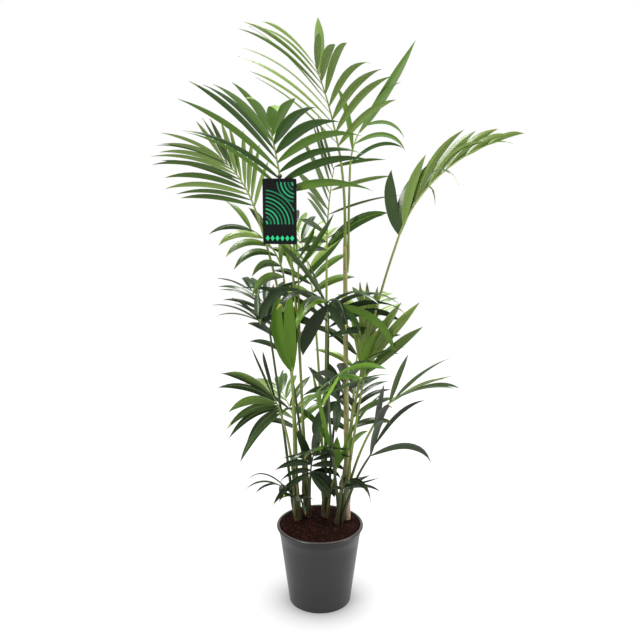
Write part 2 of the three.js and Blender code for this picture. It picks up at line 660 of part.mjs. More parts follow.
// A three-sided blade: flat beneath, with its fold standing along the middle.
function leafletSolid(line, spare) {
  const along = tangents(line.points);
  const rings = LEAF_STATIONS.map((station) => {
    const point = line.points[station];
    const half = (line.broad * profile(LEAF_WIDTH, station / LEAF_STEPS)) / 2 + spare;
    const across = squareTo(line.across, along[station]);
    const normal = across.clone().cross(along[station]);
    const thick = line.length * LEAF_THICK * (station === 0 ? ROOT_THIN : 1);
    if (station === LEAF_STEPS) return [point, point, point];
    return [
      point.clone().addScaledVector(across, -half).addScaledVector(normal, -thick / 3 - spare),
      point.clone().addScaledVector(across, half).addScaledVector(normal, -thick / 3 - spare),
      point.clone().addScaledVector(normal, (2 * thick) / 3 + spare),
    ];
  });
  const solid = toSolid(skin(rings));
  return solid.volume() < 0 ? toSolid(skin(rings.map((ring) => ring.slice().reverse()))) : solid;
}

function ribSolid(spec, rib) {
  const { upper } = ribFrame(spec, rib, 0.5);
  const radius = (share) => mixed(spec.petioleTip, spec.ribTip, share);
  return toSolid(limb(every(RIB_STRIDE, rib), radius, 3, upper));
}

// Every leaflet's own sizes, place, hand and draws: the pairs from the rib's foot, then the odd.
function leafletsOf(spec) {
  const draw = seeded(spec.seed);
  const hands = [[1, { ...spec, ...spec.right }], [-1, { ...spec, ...spec.left }]];
  const found = [];
  for (let pair = 0; pair < Math.max(...hands.map(([, own]) => own.pairs)); pair += 1) {
    for (const [hand, own] of hands) {
      const draws = Array.from({ length: DRAWS }, draw);
      if (pair >= own.pairs) continue;
      const step = pair + FIRST_PAIR + (hand > 0 ? STAGGER : 0);
      found.push({ own, share: step / (own.pairs - 1 + FIRST_PAIR + STAGGER), hand, draws });
    }
  }
  for (const odd of spec.odd) {
    const own = { ...spec, turn: 0, ...odd, spread: [odd.spread, odd.spread], reach: FULL_REACH };
    found.push({ own, share: odd.at, hand: odd.hand, draws: Array.from({ length: DRAWS }, draw) });
  }
  return found;
}

// The rib with each leaflet that finds room; one that touches a neighbour is tried higher or
// lower, and is left out where that isn't enough.
function growBlade(name, spec, rib) {
  let blade = ribSolid(spec, rib);
  for (const { own, share, hand, draws } of leafletsOf(spec)) {
    const lineAt = (shift) => leafletLine(own, rib, share, hand, draws, own.lift + shift);
    const fitting = GIVE_WAY.find((shift) => isFree(name, leafletSolid(lineAt(shift), GAP)));
    if (fitting === undefined) continue;
    const leaflet = leafletSolid(lineAt(fitting), 0);
    claim(name, leaflet);
    blade = blade.add(leaflet);
  }
  return blade;
}

// ---- hang tag ----------------------------------------------------------------------------
// The strap rings the frond's rib between two pairs of leaflets; the card hangs in front of it.
function buildTag(spec, rib) {
  const reached = (TAG.seat * RIB_STEPS) / RIB_STRIDE;
  const stretch = Math.floor(reached);
  const [foot, next] = every(RIB_STRIDE, rib).slice(stretch, stretch + 2);
  const point = foot.clone().lerp(next, reached - stretch);
  const axis = next.clone().sub(foot).normalize().applyAxisAngle(UP, -TAG.turn * RAD);
  const reach = squareTo(new THREE.Vector3(0, -1, 0), axis);
  const inner = mixed(spec.petioleTip, spec.ribTip, TAG.seat) + GAP;
  const outer = inner + TAG.ring;
  const tongueFoot = inner + TAG.ring / 2;
  const tongueTip = outer + TAG.standOff;
  const seat = new THREE.Matrix4().makeBasis(reach.clone().cross(axis), reach, axis);

  const band = new THREE.Shape();
  band.absarc(0, 0, outer, 0, 2 * Math.PI);
  const bore = new THREE.Path();
  bore.absarc(0, 0, inner, 0, 2 * Math.PI, true);
  band.holes.push(bore);
  const ring = new THREE.ExtrudeGeometry(band, { depth: TAG.strap, bevelEnabled: false, curveSegments: 6 });
  ring.translate(0, 0, -TAG.strap / 2);
  ring.applyMatrix4(seat);
  const tongue = new THREE.BoxGeometry(TAG.strap, tongueTip - tongueFoot, TAG.strap);
  tongue.translate(0, (tongueFoot + tongueTip) / 2, 0);
  tongue.applyMatrix4(seat);
  const strap = toSolid(ring).add(toSolid(tongue));

  const cut = { depth: TAG.thick, bevelEnabled: false, curveSegments: 3 };
  const card = new THREE.ExtrudeGeometry(cardShape(), cut);
  card.rotateX(Math.PI / 2);
  card.translate(0, reach.y * tongueTip + TAG.thick, reach.z * tongueTip + TAG.strap);
  const geometry = toGeometry(strap.add(toSolid(card)));
  geometry.rotateZ(TAG.turn * RAD);
  geometry.translate(point.x, point.y, point.z);
  claim('hang_tag', toSolid(geometry));
  place('hang_tag', geometry, COLOURS.tag, 0.5);
}

function cardShape() {
  const { width, height, corner } = TAG;
  const shape = new THREE.Shape();
  shape.absarc(width / 2 - corner, -height + corner, corner, -Math.PI / 2, 0);
  shape.absarc(width / 2 - corner, -corner, corner, 0, Math.PI / 2);
  shape.absarc(-width / 2 + corner, -corner, corner, Math.PI / 2, Math.PI);
  shape.absarc(-width / 2 + corner, -height + corner, corner, Math.PI, 1.5 * Math.PI);
  return shape;
}

// ---- the whole plant ---------------------------------------------------------------------
buildPot();
buildSoil();
Object.keys(STEMS).forEach(buildStem);

const ribs = {};
const specs = {};
for (const [name, own] of Object.entries(FRONDS)) {
  const spec = { ...FROND, ...own };
  const { petiole, rib } = frondPath(spec);
  specs[name] = spec;
  ribs[name] = rib;
  const bough = buildPetiole(spec, petiole);
  claim(`${name}_petiole`, toSolid(bough));
  place(`${name}_petiole`, bough, COLOURS.petiole, 0.6);
  claim(name, ribSolid(spec, rib));
}
buildTag(specs[TAG.frond], ribs[TAG.frond]);
for (const [name, spec] of Object.entries(specs)) {
  place(name, toGeometry(growBlade(name, spec, ribs[name])), spec.colour, 0.55);
}

export default group;
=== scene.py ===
"""A kentia palm in its nursery pot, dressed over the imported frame. Metres, +Z up, -Y to the front.
The frond rule is the solids' own, carried to finer leaflets. Its sizes are in millimetres."""

from math import acos, atan2, cos, exp, hypot, pi, radians, sin, sqrt

import bpy
import numpy as np
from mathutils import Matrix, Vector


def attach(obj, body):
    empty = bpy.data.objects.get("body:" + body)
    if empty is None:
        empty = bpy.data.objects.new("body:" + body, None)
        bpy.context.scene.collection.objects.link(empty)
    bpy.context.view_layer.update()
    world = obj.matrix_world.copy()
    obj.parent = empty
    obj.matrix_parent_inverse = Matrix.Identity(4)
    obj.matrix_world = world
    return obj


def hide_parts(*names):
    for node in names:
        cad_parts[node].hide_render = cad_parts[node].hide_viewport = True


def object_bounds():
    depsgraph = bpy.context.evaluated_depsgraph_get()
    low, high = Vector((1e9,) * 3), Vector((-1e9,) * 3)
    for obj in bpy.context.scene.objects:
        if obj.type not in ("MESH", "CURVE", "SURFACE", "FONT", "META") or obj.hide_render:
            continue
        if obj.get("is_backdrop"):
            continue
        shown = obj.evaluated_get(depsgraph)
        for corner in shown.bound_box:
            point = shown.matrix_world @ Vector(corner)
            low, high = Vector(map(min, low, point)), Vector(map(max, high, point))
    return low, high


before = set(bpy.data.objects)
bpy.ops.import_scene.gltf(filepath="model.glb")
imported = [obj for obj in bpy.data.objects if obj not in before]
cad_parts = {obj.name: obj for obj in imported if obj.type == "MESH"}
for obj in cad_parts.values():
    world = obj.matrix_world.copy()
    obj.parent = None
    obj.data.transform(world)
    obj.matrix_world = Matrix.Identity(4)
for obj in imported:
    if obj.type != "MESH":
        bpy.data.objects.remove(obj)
cad_low, cad_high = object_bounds()

# ---- studio -------------------------------------------------------------------------------
# A pale seamless floor under soft boxes and an even white surround, with a painted shade round the
# pot's foot where the floor's glow is dimmed. The camera stands a little below the crown's height
# and looks slightly down.
MM = 0.001
FLOOR_RADIUS = 3000.0
FLOOR_TURNS = 96
FLOOR_LIGHT = 0.8
FOOT_SHADE = 0.6
FOOT_REACH = 0.086
SHADE_FADES = 0.052
CAMERA_PLACE = (0.0, -2.2, 1.33)
CAMERA_DOWN = 13.3
CAMERA_LENS = 48.375
CAMERA_SENSOR = 36.0
SURROUND_LIGHT = 0.5
SURROUND_SEEN = 1.0
WHITE = (1.0, 1.0, 1.0, 1.0)


def shader(material):
    return material.node_tree.nodes["Principled BSDF"]


def srgb(red, green, blue):
    """A colour given as 0 to 255 on a screen, in the renderer's linear light."""

    def linear(value):
        value /= 255
        return value / 12.92 if value <= 0.04045 else ((value + 0.055) / 1.055) ** 2.4

    return (linear(red), linear(green), linear(blue), 1.0)


def feed(made, inputs):
    """Gives a node's inputs, by name or number, a value, an output or a node's first output."""
    for name, source in dict(inputs).items():
        if isinstance(source, bpy.types.Node):
            source = source.outputs[0]
        if isinstance(source, bpy.types.NodeSocket):
            made.id_data.links.new(source, made.inputs[name])
        else:
            made.inputs[name].default_value = source


def node(tree, kind, inputs=(), **settings):
    """A node with its settings made and its inputs fed."""
    made = tree.nodes.new(kind)
    for name, value in settings.items():
        setattr(made, name, value)
    feed(made, inputs)
    return made


def worked(tree, operation, *values):
    """One step of arithmetic."""
    return node(tree, "ShaderNodeMath", enumerate(values), operation=operation)


def ranged(tree, value, start=0.0, end=1.0, low=0.0, high=1.0):
    """A value that goes from start to end, made to go from low to high and no further."""
    limits = {"From Min": start, "From Max": end, "To Min": low, "To Max": high}
    return node(tree, "ShaderNodeMapRange", {"Value": value, **limits})


def seen_or_lit(tree, lit, seen):
    """One amount for the light that a surface gives and another for how the camera sees it."""
    rays = node(tree, "ShaderNodeLightPath")
    return ranged(tree, rays.outputs["Is Camera Ray"], low=lit, high=seen)


def object_place(tree):
    return node(tree, "ShaderNodeTexCoord").outputs["Object"]


def finish_named(name, colour, roughness, more=()):
    material = bpy.data.materials.new(name)
    material.use_nodes = True
    feed(shader(material), {"Base Color": colour, "Roughness": roughness, **dict(more)})
    return material


def new_object(name, data):
    made = bpy.data.objects.new(name, data)
    bpy.context.scene.collection.objects.link(made)
    return made


def mesh_named(name, places, faces, smooth=False, edges=()):
    """A mesh of points given in mm."""
    mesh = bpy.data.meshes.new(name)
    mesh.from_pydata((np.array(places) * MM).tolist(), edges, faces)
    mesh.polygons.foreach_set("use_smooth", [smooth] * len(mesh.polygons))
    return mesh


def ring_of(radius, height, steps):
    """Points round a level circle about the pot's axis."""
    angles = [2 * pi * step / steps for step in range(steps)]
    return [(radius * cos(angle), radius * sin(angle), height) for angle in angles]


floor_rim = ring_of(FLOOR_RADIUS, 0.0, FLOOR_TURNS)
floor_mesh = mesh_named("studio_floor", floor_rim, [tuple(range(FLOOR_TURNS))])
floor = new_object("studio_floor", floor_mesh)
glowing = {"Specular IOR Level": 0.0, "Emission Color": WHITE}
floor_white = finish_named("floor_white", srgb(90, 90, 90), 0.9, glowing)
tree = floor_white.node_tree
# Painted shadow: the floor's glow is dimmed near the pot's foot and fades back to full further out,
# standing in for the shade that the pot casts.
outward = node(tree, "ShaderNodeVectorMath", {0: object_place(tree)}, operation="LENGTH")
lit = outward.outputs["Value"]
for operation, amount in (
    ("SUBTRACT", FOOT_REACH),
    ("DIVIDE", -SHADE_FADES),
    ("EXPONENT", 0.0),
    ("MULTIPLY", -FOOT_SHADE),
    ("ADD", 1.0),
):
    lit = worked(tree, operation, lit, amount)
glow = worked(tree, "MULTIPLY", seen_or_lit(tree, FLOOR_LIGHT, 1.0), lit)
feed(shader(floor_white), {"Emission Strength": glow})
floor_mesh.materials.append(floor_white)
floor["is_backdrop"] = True

world = bpy.data.worlds.new("surround")
world.use_nodes = True
surround = seen_or_lit(world.node_tree, SURROUND_LIGHT, SURROUND_SEEN)
feed(world.node_tree.nodes["Background"], {"Color": WHITE, "Strength": surround})
bpy.context.scene.world = world
bpy.context.scene.view_settings.view_transform = "Standard"


def soft_box(name, place, target, width, height, power):
    lamp = bpy.data.lights.new(name, "AREA")
    lamp.shape = "RECTANGLE"
    lamp.size = width
    lamp.size_y = height
    lamp.energy = power
    away = np.array(place) - np.array(target)
    made = new_object(name, lamp)
    made.location = place
    turn = atan2(away[0], -away[1])
    tilt = atan2(hypot(away[0], away[1]), away[2])
    made.rotation_euler = (tilt, 0.0, turn)


soft_box("left_soft_box", (-2.2, -2.0, 3.0), (0, 0, 0.9), 0.7, 1.3, 96)
soft_box("right_soft_box", (2.6, -0.6, 1.8), (0, 0, 0.8), 0.6, 1.6, 40)
soft_box("top_soft_box", (0.3, 0.6, 3.2), (0, 0, 1.0), 1.2, 1.2, 110)

camera = new_object("camera", bpy.data.cameras.new("camera"))
camera.data.lens = CAMERA_LENS
camera.data.sensor_width = CAMERA_SENSOR
camera.location = CAMERA_PLACE
camera.rotation_euler = (radians(90 - CAMERA_DOWN), 0.0, 0.0)
bpy.context.scene.camera = camera

# ---- nursery pot --------------------------------------------------------------------------
# An injection-moulded pot in dark grey polypropylene: a tapering wall with a shallow collar, a
# rolled lip and a flat foot with a small radius. Satin, a little scuffed at the foot, with a painted
# highlight along the lip's top and a painted shade on the collar band below it.
POT_HEIGHT = 230.0
POT_RIM = 120.0
POT_FOOT = 85.5
POT_SHOULDER = 115.0
POT_WALL = 2.6
POT_TURNS = 144
POT_SHARP = 50
COLLAR_FOOT = 203.0
LIP_HIGHLIGHT_BAND = 3.0
DUST_TOP = 50.0


def wall_radius(height):
    return POT_FOOT + (POT_SHOULDER - POT_FOOT) * height / POT_HEIGHT


def band(low, high, count, turned_over=False):
    """Faces round between two rings of points, each given by its first point's number."""
    faces = []
    for side in range(count):
        after = (side + 1) % count
        face = (low + side, low + after, high + after, high + side)
        faces.append(face[:1] + face[:0:-1] if turned_over else face)
    return faces


def turned(name, outline, steps):
    """A closed body turned about the pot's axis; its outline goes from pole to pole in mm."""
    places = [(0.0, 0.0, outline[0][1])]
    for radius, height in outline[1:-1]:
        places += ring_of(radius, height, steps)
    places.append((0.0, 0.0, outline[-1][1]))
    end = len(places) - 1
    faces = [(0, 1 + (i + 1) % steps, 1 + i) for i in range(steps)]
    for low in range(1, end - steps, steps):
        faces += band(low, low + steps, steps)
    faces += [(end - steps + i, end - steps + (i + 1) % steps, end) for i in range(steps)]
    mesh = mesh_named(name, places, faces, smooth=True)
    mesh.set_sharp_from_angle(angle=radians(POT_SHARP))
    return mesh


def arc(centre_radius, centre_height, size, first, last, steps):
    """Points round part of a circle in the outline's plane, angles from outward to up."""
    angles = [radians(first + (last - first) * i / steps) for i in range(steps + 1)]
    return [
        (centre_radius + size * cos(a), centre_height + size * sin(a)) for a in angles
    ]


pot_outline = [(0.0, 0.0)]
pot_outline += arc(POT_FOOT - 3.4, 4.0, 4.0, -90, -8, 5)
pot_outline += [(wall_radius(height), height) for height in (30, 60, 100, 140, 180)]
pot_outline += [(wall_radius(COLLAR_FOOT), COLLAR_FOOT)]
pot_outline += [(wall_radius(COLLAR_FOOT) + 0.9, COLLAR_FOOT + 1.2)]
pot_outline += [(wall_radius(216) + 0.9, 216.0), (wall_radius(219) + 1.4, 219.0)]
pot_outline += arc(POT_RIM - 4.4, 225.4, 4.4, -80, 90, 9)
pot_outline += [(POT_RIM - 7.4, 229.2), (POT_RIM - 8.4, 227.4)]
pot_outline += [(wall_radius(height) - POT_WALL, height) for height in (200.0, 100.0, 4.0)]
pot_outline += [(0.0, 4.0)]
pot = new_object("nursery_pot", turned("nursery_pot", pot_outline, POT_TURNS))


def noise(tree, place, scale, detail, roughness=0.5):
    settings = {"Scale": scale, "Detail": detail, "Roughness": roughness}
    return node(tree, "ShaderNodeTexNoise", {"Vector": place, **settings})


def height_in(tree, place):
    return node(tree, "ShaderNodeSeparateXYZ", {0: place}).outputs["Z"]


def blended(tree, share, first, second, way="MIX"):
    """The colour that lies a share of the way from the first to the second."""
    inputs = {0: share, 6: first, 7: second}
    mix = node(tree, "ShaderNodeMix", inputs, data_type="RGBA", blend_type=way)
    return mix.outputs[2]


def bumped(tree, height, strength, depth):
    inputs = {"Strength": strength, "Distance": depth, "Height": height}
    return node(tree, "ShaderNodeBump", inputs)


pot_plastic = finish_named("pot_plastic", srgb(42, 40, 41), 0.4)
tree = pot_plastic.node_tree
spots = object_place(tree)
speckle = noise(tree, spots, 900.0, 2.0)
clouds = noise(tree, spots, 14.0, 4.0)
height = height_in(tree, spots)
dust = worked(tree, "MULTIPLY", ranged(tree, height, DUST_TOP * MM, 0.0), clouds)
dusty = blended(tree, dust, srgb(41, 39, 40), srgb(64, 62, 61))
# Painted shade: the collar band below the lip is darkened where the lip would shade it.
painted_collar_shade = ranged(tree, height, COLLAR_FOOT * MM, (COLLAR_FOOT + 3) * MM, high=0.85)
with_painted_collar_shade = blended(tree, painted_collar_shade, dusty, srgb(19, 18, 19))
# Painted highlight: the top few millimetres of the lip are lightened to stand for the lamps' sheen
# on it.
painted_lip_highlight = ranged(tree, height, (POT_HEIGHT - LIP_HIGHLIGHT_BAND) * MM, POT_HEIGHT * MM, high=0.6)
with_painted_lip_highlight = blended(tree, painted_lip_highlight, with_painted_collar_shade, srgb(112, 106, 104))
gloss = ranged(tree, clouds, low=0.24, high=0.44)
peel = bumped(tree, speckle, 0.12, 0.0004)
feed(shader(pot_plastic), {"Base Color": with_painted_lip_highlight, "Roughness": gloss, "Normal": peel})
pot.data.materials.append(pot_plastic)
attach(pot, "root")
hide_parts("pot")

# ---- potting soil -------------------------------------------------------------------------
# Moist peat and bark mix, filled to just under the lip: an uneven surface strewn with crumbs of
# peat and chips of bark. The crumbs are scattered by a geometry node tree.
SOIL_TOP = 226.5
SOIL_EDGE = 109.5
SOIL_RINGS = 44
SOIL_TURNS = 120
SOIL_HEAP = 1.2
SOIL_ROUGH = 1.8
SOIL_BUMPS = 14.0
SKIRT_FOOT = 60
SKIRT_CLEAR = 0.5
CRUMBS_PER_M2 = 60000.0
CRUMB_SEED = 4
CRUMB_TILT = 0.6
CRUMB_DEPTH = 0.75
CRUMB_LEAST = 0.35
FULL_TURN = 6.28


def wobble(x, y, size, seed):
    """A smooth seeded unevenness, about -1 to 1, with bumps of the given size in mm."""
    total = 0.0
    for octave in range(4):
        step = size / 1.9**octave
        turn = seed * 1.7 + octave * 2.3
        u = (x * cos(turn) - y * sin(turn)) / step
        v = (x * sin(turn) + y * cos(turn)) / step
        total += sin(u + seed) * cos(v - 1.3 * seed) / 1.45**octave
    return total / 2.2


def soil_height(x, y):
    edge = hypot(x, y) / SOIL_EDGE
    heap = SOIL_HEAP * (1 - edge**2)
    return SOIL_TOP + heap + SOIL_ROUGH * wobble(x, y, SOIL_BUMPS, 2.0) * (1 - 0.6 * edge**6)


soil_places = [(0.0, 0.0, soil_height(0, 0))]
for ring in range(1, SOIL_RINGS + 1):
    level_ring = ring_of(SOIL_EDGE * ring / SOIL_RINGS, 0.0, SOIL_TURNS)
    soil_places += [(x, y, soil_height(x, y)) for x, y, _ in level_ring]
soil_faces = [(0, 1 + turn, 1 + (turn + 1) % SOIL_TURNS) for turn in range(SOIL_TURNS)]
skirt = len(soil_places)
soil_places += ring_of(wall_radius(SKIRT_FOOT) - POT_WALL - SKIRT_CLEAR, SKIRT_FOOT, SOIL_TURNS)
for start in range(1, skirt, SOIL_TURNS):
    soil_faces += band(start, start + SOIL_TURNS, SOIL_TURNS, turned_over=True)
soil_faces.append(tuple(skirt + turn for turn in reversed(range(SOIL_TURNS))))
soil = new_object("soil_surface", mesh_named("potting_soil", soil_places, soil_faces, smooth=True))


def soil_finish(name, dark, light, scale):
    material = finish_named(name, dark, 0.85, {"Specular IOR Level": 0.12})
    tree = material.node_tree
    grain = noise(tree, object_place(tree), scale, 6.0, 0.7)
    ramp = node(tree, "ShaderNodeValToRGB", {0: grain})
    for stop, place, colour in zip(ramp.color_ramp.elements, (0.35, 0.72), (dark, light)):
        stop.position = place
        stop.color = colour
    relief = bumped(tree, grain, 0.9, 0.002)
    feed(shader(material), {"Base Color": ramp, "Normal": relief})
    return material


peat = soil_finish("moist_peat", srgb(12, 4, 2), srgb(42, 18, 12), 260.0)
crumb_dark = soil_finish("peat_crumb", srgb(16, 6, 4), srgb(54, 24, 16), 420.0)
crumb_bark = soil_finish("bark_chip", srgb(48, 20, 12), srgb(98, 52, 34), 420.0)
soil.data.materials.append(peat)


def tree_with(name, sockets):
    """A geometry node group with named inputs of the given kinds, and its entry's outputs."""
    group = bpy.data.node_groups.new(name, "GeometryNodeTree")
    for label, kind in {"Geometry": "Geometry", **sockets}.items():
        group.interface.new_socket(label, in_out="INPUT", socket_type="NodeSocket" + kind)
    group.interface.new_socket("Geometry", in_out="OUTPUT", socket_type="NodeSocketGeometry")
    return group, group.nodes.new("NodeGroupInput").outputs


def end_tree(tree, geometry, material):
    """Makes what a tree has grown real, gives it its material and hands it out."""
    real = node(tree, "GeometryNodeRealizeInstances", {"Geometry": geometry})
    coloured = node(tree, "GeometryNodeSetMaterial", {"Geometry": real, "Material": material})
    node(tree, "NodeGroupOutput", {"Geometry": coloured})


def grown(name, base, tree, values):
    """The plain mesh that a node tree makes of an object; the modifier is gone afterwards."""
    modifier = base.modifiers.new(name, "NODES")
    modifier.node_group = tree
    for socket in tree.interface.items_tree:
        if socket.name in values:
            modifier[socket.identifier] = values[socket.name]
    evaluated = base.evaluated_get(bpy.context.evaluated_depsgraph_get())
    mesh = bpy.data.meshes.new_from_object(evaluated)
    mesh.name = name
    base.modifiers.remove(modifier)
    return mesh


crumb_sockets = {
    "Crumbs per square metre": "Float",
    "Crumb size": "Float",
    "Flatness": "Float",
    "Seed": "Int",
    "Crumb material": "Material",
}
tree, given = tree_with("strewn_crumbs", crumb_sockets)
scatter = {
    "Mesh": given["Geometry"],
    "Density": given["Crumbs per square metre"],
    "Seed": given["Seed"],
}
ball = node(tree, "GeometryNodeMeshIcoSphere", {"Radius": 1.0, "Subdivisions": 2})
uneven = node(tree, "ShaderNodeTexNoise", {"Scale": 1.4, "Detail": 1.0}).outputs["Color"]
knobs = node(tree, "ShaderNodeVectorMath", {0: uneven, 1: (0.5,) * 3}, operation="SUBTRACT")
lump = node(tree, "GeometryNodeSetPosition", {"Geometry": ball, "Offset": knobs})
shares = {"X": 1.0, "Y": CRUMB_DEPTH, "Z": given["Flatness"]}
flat = node(tree, "ShaderNodeCombineXYZ", shares)
tumble = {
    "Min": (-CRUMB_TILT, -CRUMB_TILT, 0.0),
    "Max": (CRUMB_TILT, CRUMB_TILT, FULL_TURN),
    "Seed": given["Seed"],
}
limits = {2: CRUMB_LEAST, 3: 1.0, "Seed": given["Seed"]}
sizes = node(tree, "FunctionNodeRandomValue", limits, data_type="FLOAT").outputs[1]
spread = {
    "Points": node(tree, "GeometryNodeDistributePointsOnFaces", scatter),
    "Instance": node(tree, "GeometryNodeTransform", {"Geometry": lump, "Scale": flat}),
    "Rotation": node(tree, "FunctionNodeRandomValue", tumble, data_type="FLOAT_VECTOR"),
    "Scale": worked(tree, "MULTIPLY", sizes, given["Crumb size"]),
}
crumbs_made = node(tree, "GeometryNodeInstanceOnPoints", spread)
end_tree(tree, crumbs_made, given["Crumb material"])

# The crumbs are strewn on a copy of the surface's top, a ring short of its edge.
top_count = 1 + (SOIL_RINGS - 1) * SOIL_TURNS
top_faces = [face for face in soil_faces if max(face) < top_count]
strewn_base = new_object("strewn_on", mesh_named("strewn_on", soil_places[:top_count], top_faces))
for name, density, size, flatness, seed, finish in (
    ("peat_crumbs", CRUMBS_PER_M2, 0.0027, 0.7, CRUMB_SEED, crumb_dark),
    ("bark_chips", CRUMBS_PER_M2 / 9, 0.0042, 0.35, CRUMB_SEED + 1, crumb_bark),
):
    values = dict(zip(crumb_sockets, (density, size, flatness, seed, finish)))
    crumbs = new_object(name, grown(name, strewn_base, tree, values))
    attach(crumbs, "root")
bpy.data.objects.remove(strewn_base)
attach(soil, "root")
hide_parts("potting_soil")

# ---- stems --------------------------------------------------------------------------------
# Five young stems rise from the soil. Each is a taper of old leaf bases, ringed where leaves
# have dropped, brown and fibrous at the foot and green above; one is a tall bare cane.
GAP = 0.3
STEM_FOOT = 228.0 + GAP
STEM_SINK = 4.0
STEM_SIDES = 28
STEM_STEP = 2.2
FOOT_SWELL = 1.5
FOOT_SHARE = 0.2
SCAR_PROUD = 0.55
SCAR_WIDTH = 0.06
BARK_UNDER = 0.6
CANE_HEIGHT = 300

# x, y, height, foot and top radius, lean, heading
STEMS = {
    "left_front_stem": (-62, 27, 92, 10.5, 7, 2, 180),
    "left_back_stem": (-34, 44, 96, 10, 7, 2, 90),
    "middle_stem": (14, 46, 98, 10.5, 7.5, 1, 90),
    "right_front_stem": (52, 4, 90, 10.5, 7, 4, 0),
    "tall_cane": (76, 30, 772, 9, 5.6, 0.8, 190),
}


def direction(lean, heading):
    t, h = radians(lean), radians(heading)
    return np.array([sin(t) * cos(h), sin(t) * sin(h), cos(t)])


def flat_heading(heading):
    return direction(90, heading)


def unit(vector):
    return vector / np.linalg.norm(vector)


def square_to(vector, axis):
    """The part of a vector that is square to a unit direction, at unit length."""
    return unit(vector - axis * (vector @ axis))


def mixed(start, end, share):
    return start + (end - start) * share


def stem_point(name, share):
    x, y, height, _, _, lean, heading = STEMS[name]
    return np.array([x, y, STEM_FOOT]) + direction(lean, heading) * height * share


def stem_radius(name, share):
    _, _, _, foot, top, _, _ = STEMS[name]
    return mixed(foot, top, share) + FOOT_SWELL * max(0.0, 1 - share / FOOT_SHARE)


def stem_mesh(name):
    """Rings of points up a stem: leaf scars every few centimetres, fibres lengthwise."""
    x, y, height, _, _, lean, heading = STEMS[name]
    tall = height > CANE_HEIGHT
    scar_step, scar_rise = (62.0, 0.35) if tall else (17.0, 0.8)
    steps = int(height / STEM_STEP)
    axis = direction(lean, heading)
    right = square_to(np.array([1.0, 0.0, 0.0]), axis)
    front = np.cross(axis, right)
    places, faces = [], []
    for step in range(steps + 1):
        rise = -STEM_SINK + (height + STEM_SINK) * step / steps
        share = max(0.0, rise / height)
        centre = np.array([x, y, STEM_FOOT]) + axis * rise
        scar = (rise / scar_step + 0.35) % 1.0
        ring = SCAR_PROUD * exp(-(((scar - 0.5) / SCAR_WIDTH) ** 2)) + scar_rise * scar
        for side in range(STEM_SIDES):
            angle = 2 * pi * side / STEM_SIDES
            fibre = 0.16 * sin(7 * angle + rise / 30) + 0.1 * sin(11 * angle - rise / 17)
            radius = stem_radius(name, share) - BARK_UNDER + ring + fibre
            out = right * cos(angle) + front * sin(angle)
            places.append(centre + out * radius)
        if step < steps:
            faces += band(step * STEM_SIDES, (step + 1) * STEM_SIDES, STEM_SIDES)
    faces.append(tuple(reversed(range(STEM_SIDES))))
    top, tip = steps * STEM_SIDES, len(places)
    faces += [(top + i, top + (i + 1) % STEM_SIDES, tip) for i in range(STEM_SIDES)]
    return mesh_named(name, places + [centre + axis * 2.0], faces, smooth=True)


def bark_finish(name, low, high, low_height, high_height, streak, depth=0.55, roughness=0.62):
    """Fibrous bark: one colour at the foot turning to another higher up, streaked lengthwise."""
    material = finish_named(name, high, roughness)
    tree = material.node_tree
    spots = object_place(tree)
    stretch = node(tree, "ShaderNodeMapping", {"Vector": spots, "Scale": (1.0, 1.0, 0.06)})
    streaks = noise(tree, stretch, streak, 4.0, 0.65)
    rise = ranged(tree, height_in(tree, spots), low_height, high_height)
    uneven = worked(tree, "MULTIPLY_ADD", noise(tree, spots, 38.0, 3.0), 0.7, rise)
    shifted = worked(tree, "SUBTRACT", uneven, 0.35)
    shifted.use_clamp = True
    turning = blended(tree, shifted, low, high)
    tone = ranged(tree, streaks, 0.3, 0.65, 0.35, 1.25)
    streaked = blended(tree, depth, turning, tone, "MULTIPLY")
    relief = bumped(tree, streaks, 0.6, 0.0007)
    feed(shader(material), {"Base Color": streaked, "Normal": relief})
    return material


short_bark = bark_finish("young_stem", srgb(74, 58, 38), srgb(78, 92, 40), 0.235, 0.30, 700.0)
cane_bark = bark_finish("cane_bark", srgb(188, 158, 134), srgb(170, 167, 108), 0.26, 0.52, 800.0)
for stem_name in STEMS:
    stem = new_object(stem_name + "_bark", stem_mesh(stem_name))
    stem.data.materials.append(cane_bark if stem_name == "tall_cane" else short_bark)
    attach(stem, "root")
    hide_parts(stem_name)

# ---- petioles and ribs --------------------------------------------------------------------
# The leaf stalks: tough green rods that clasp their stem with a fibrous base and arch outward.
# Above the first leaflet the stalk goes on as the frond's rib, thinner and straw green.
FROND = dict(
    petiole_foot=4.2, petiole_tip=2.7, rib_tip=1.3, on_top=False, swing=0, roll=0, width=21, turn=0,
    reach=((0, 0.82), (0.4, 1), (0.7, 0.93), (1, 0.7)), right={}, left={}, odd=(),
)


def leaf(stem, heading, lean, petiole, blade, seed, tone, **more):
    """A frond: its stem, heading, lean at foot, neck and tip, two lengths, seed, tone and more."""
    own = dict(stem=stem, heading=heading, lean=lean, petiole=petiole, blade=blade)
    return dict(FROND, **own, seed=seed, tone=tone, **more)


def pairs(count, spread, lift, droop, leaflet, **more):
    """A side's paired leaflets: how many, spread from foot to tip, lift, droop and length."""
    return dict(pairs=count, spread=spread, lift=lift, droop=droop, leaflet=leaflet, **more)


def lone(at, hand, spread, lift, droop, leaflet, width, **more):
    """A leaflet by itself: its place up the rib, its side, 1 for right, and its own sizes."""
    own = dict(at=at, hand=hand, spread=spread, lift=lift, droop=droop)
    return dict(own, leaflet=leaflet, width=width, **more)


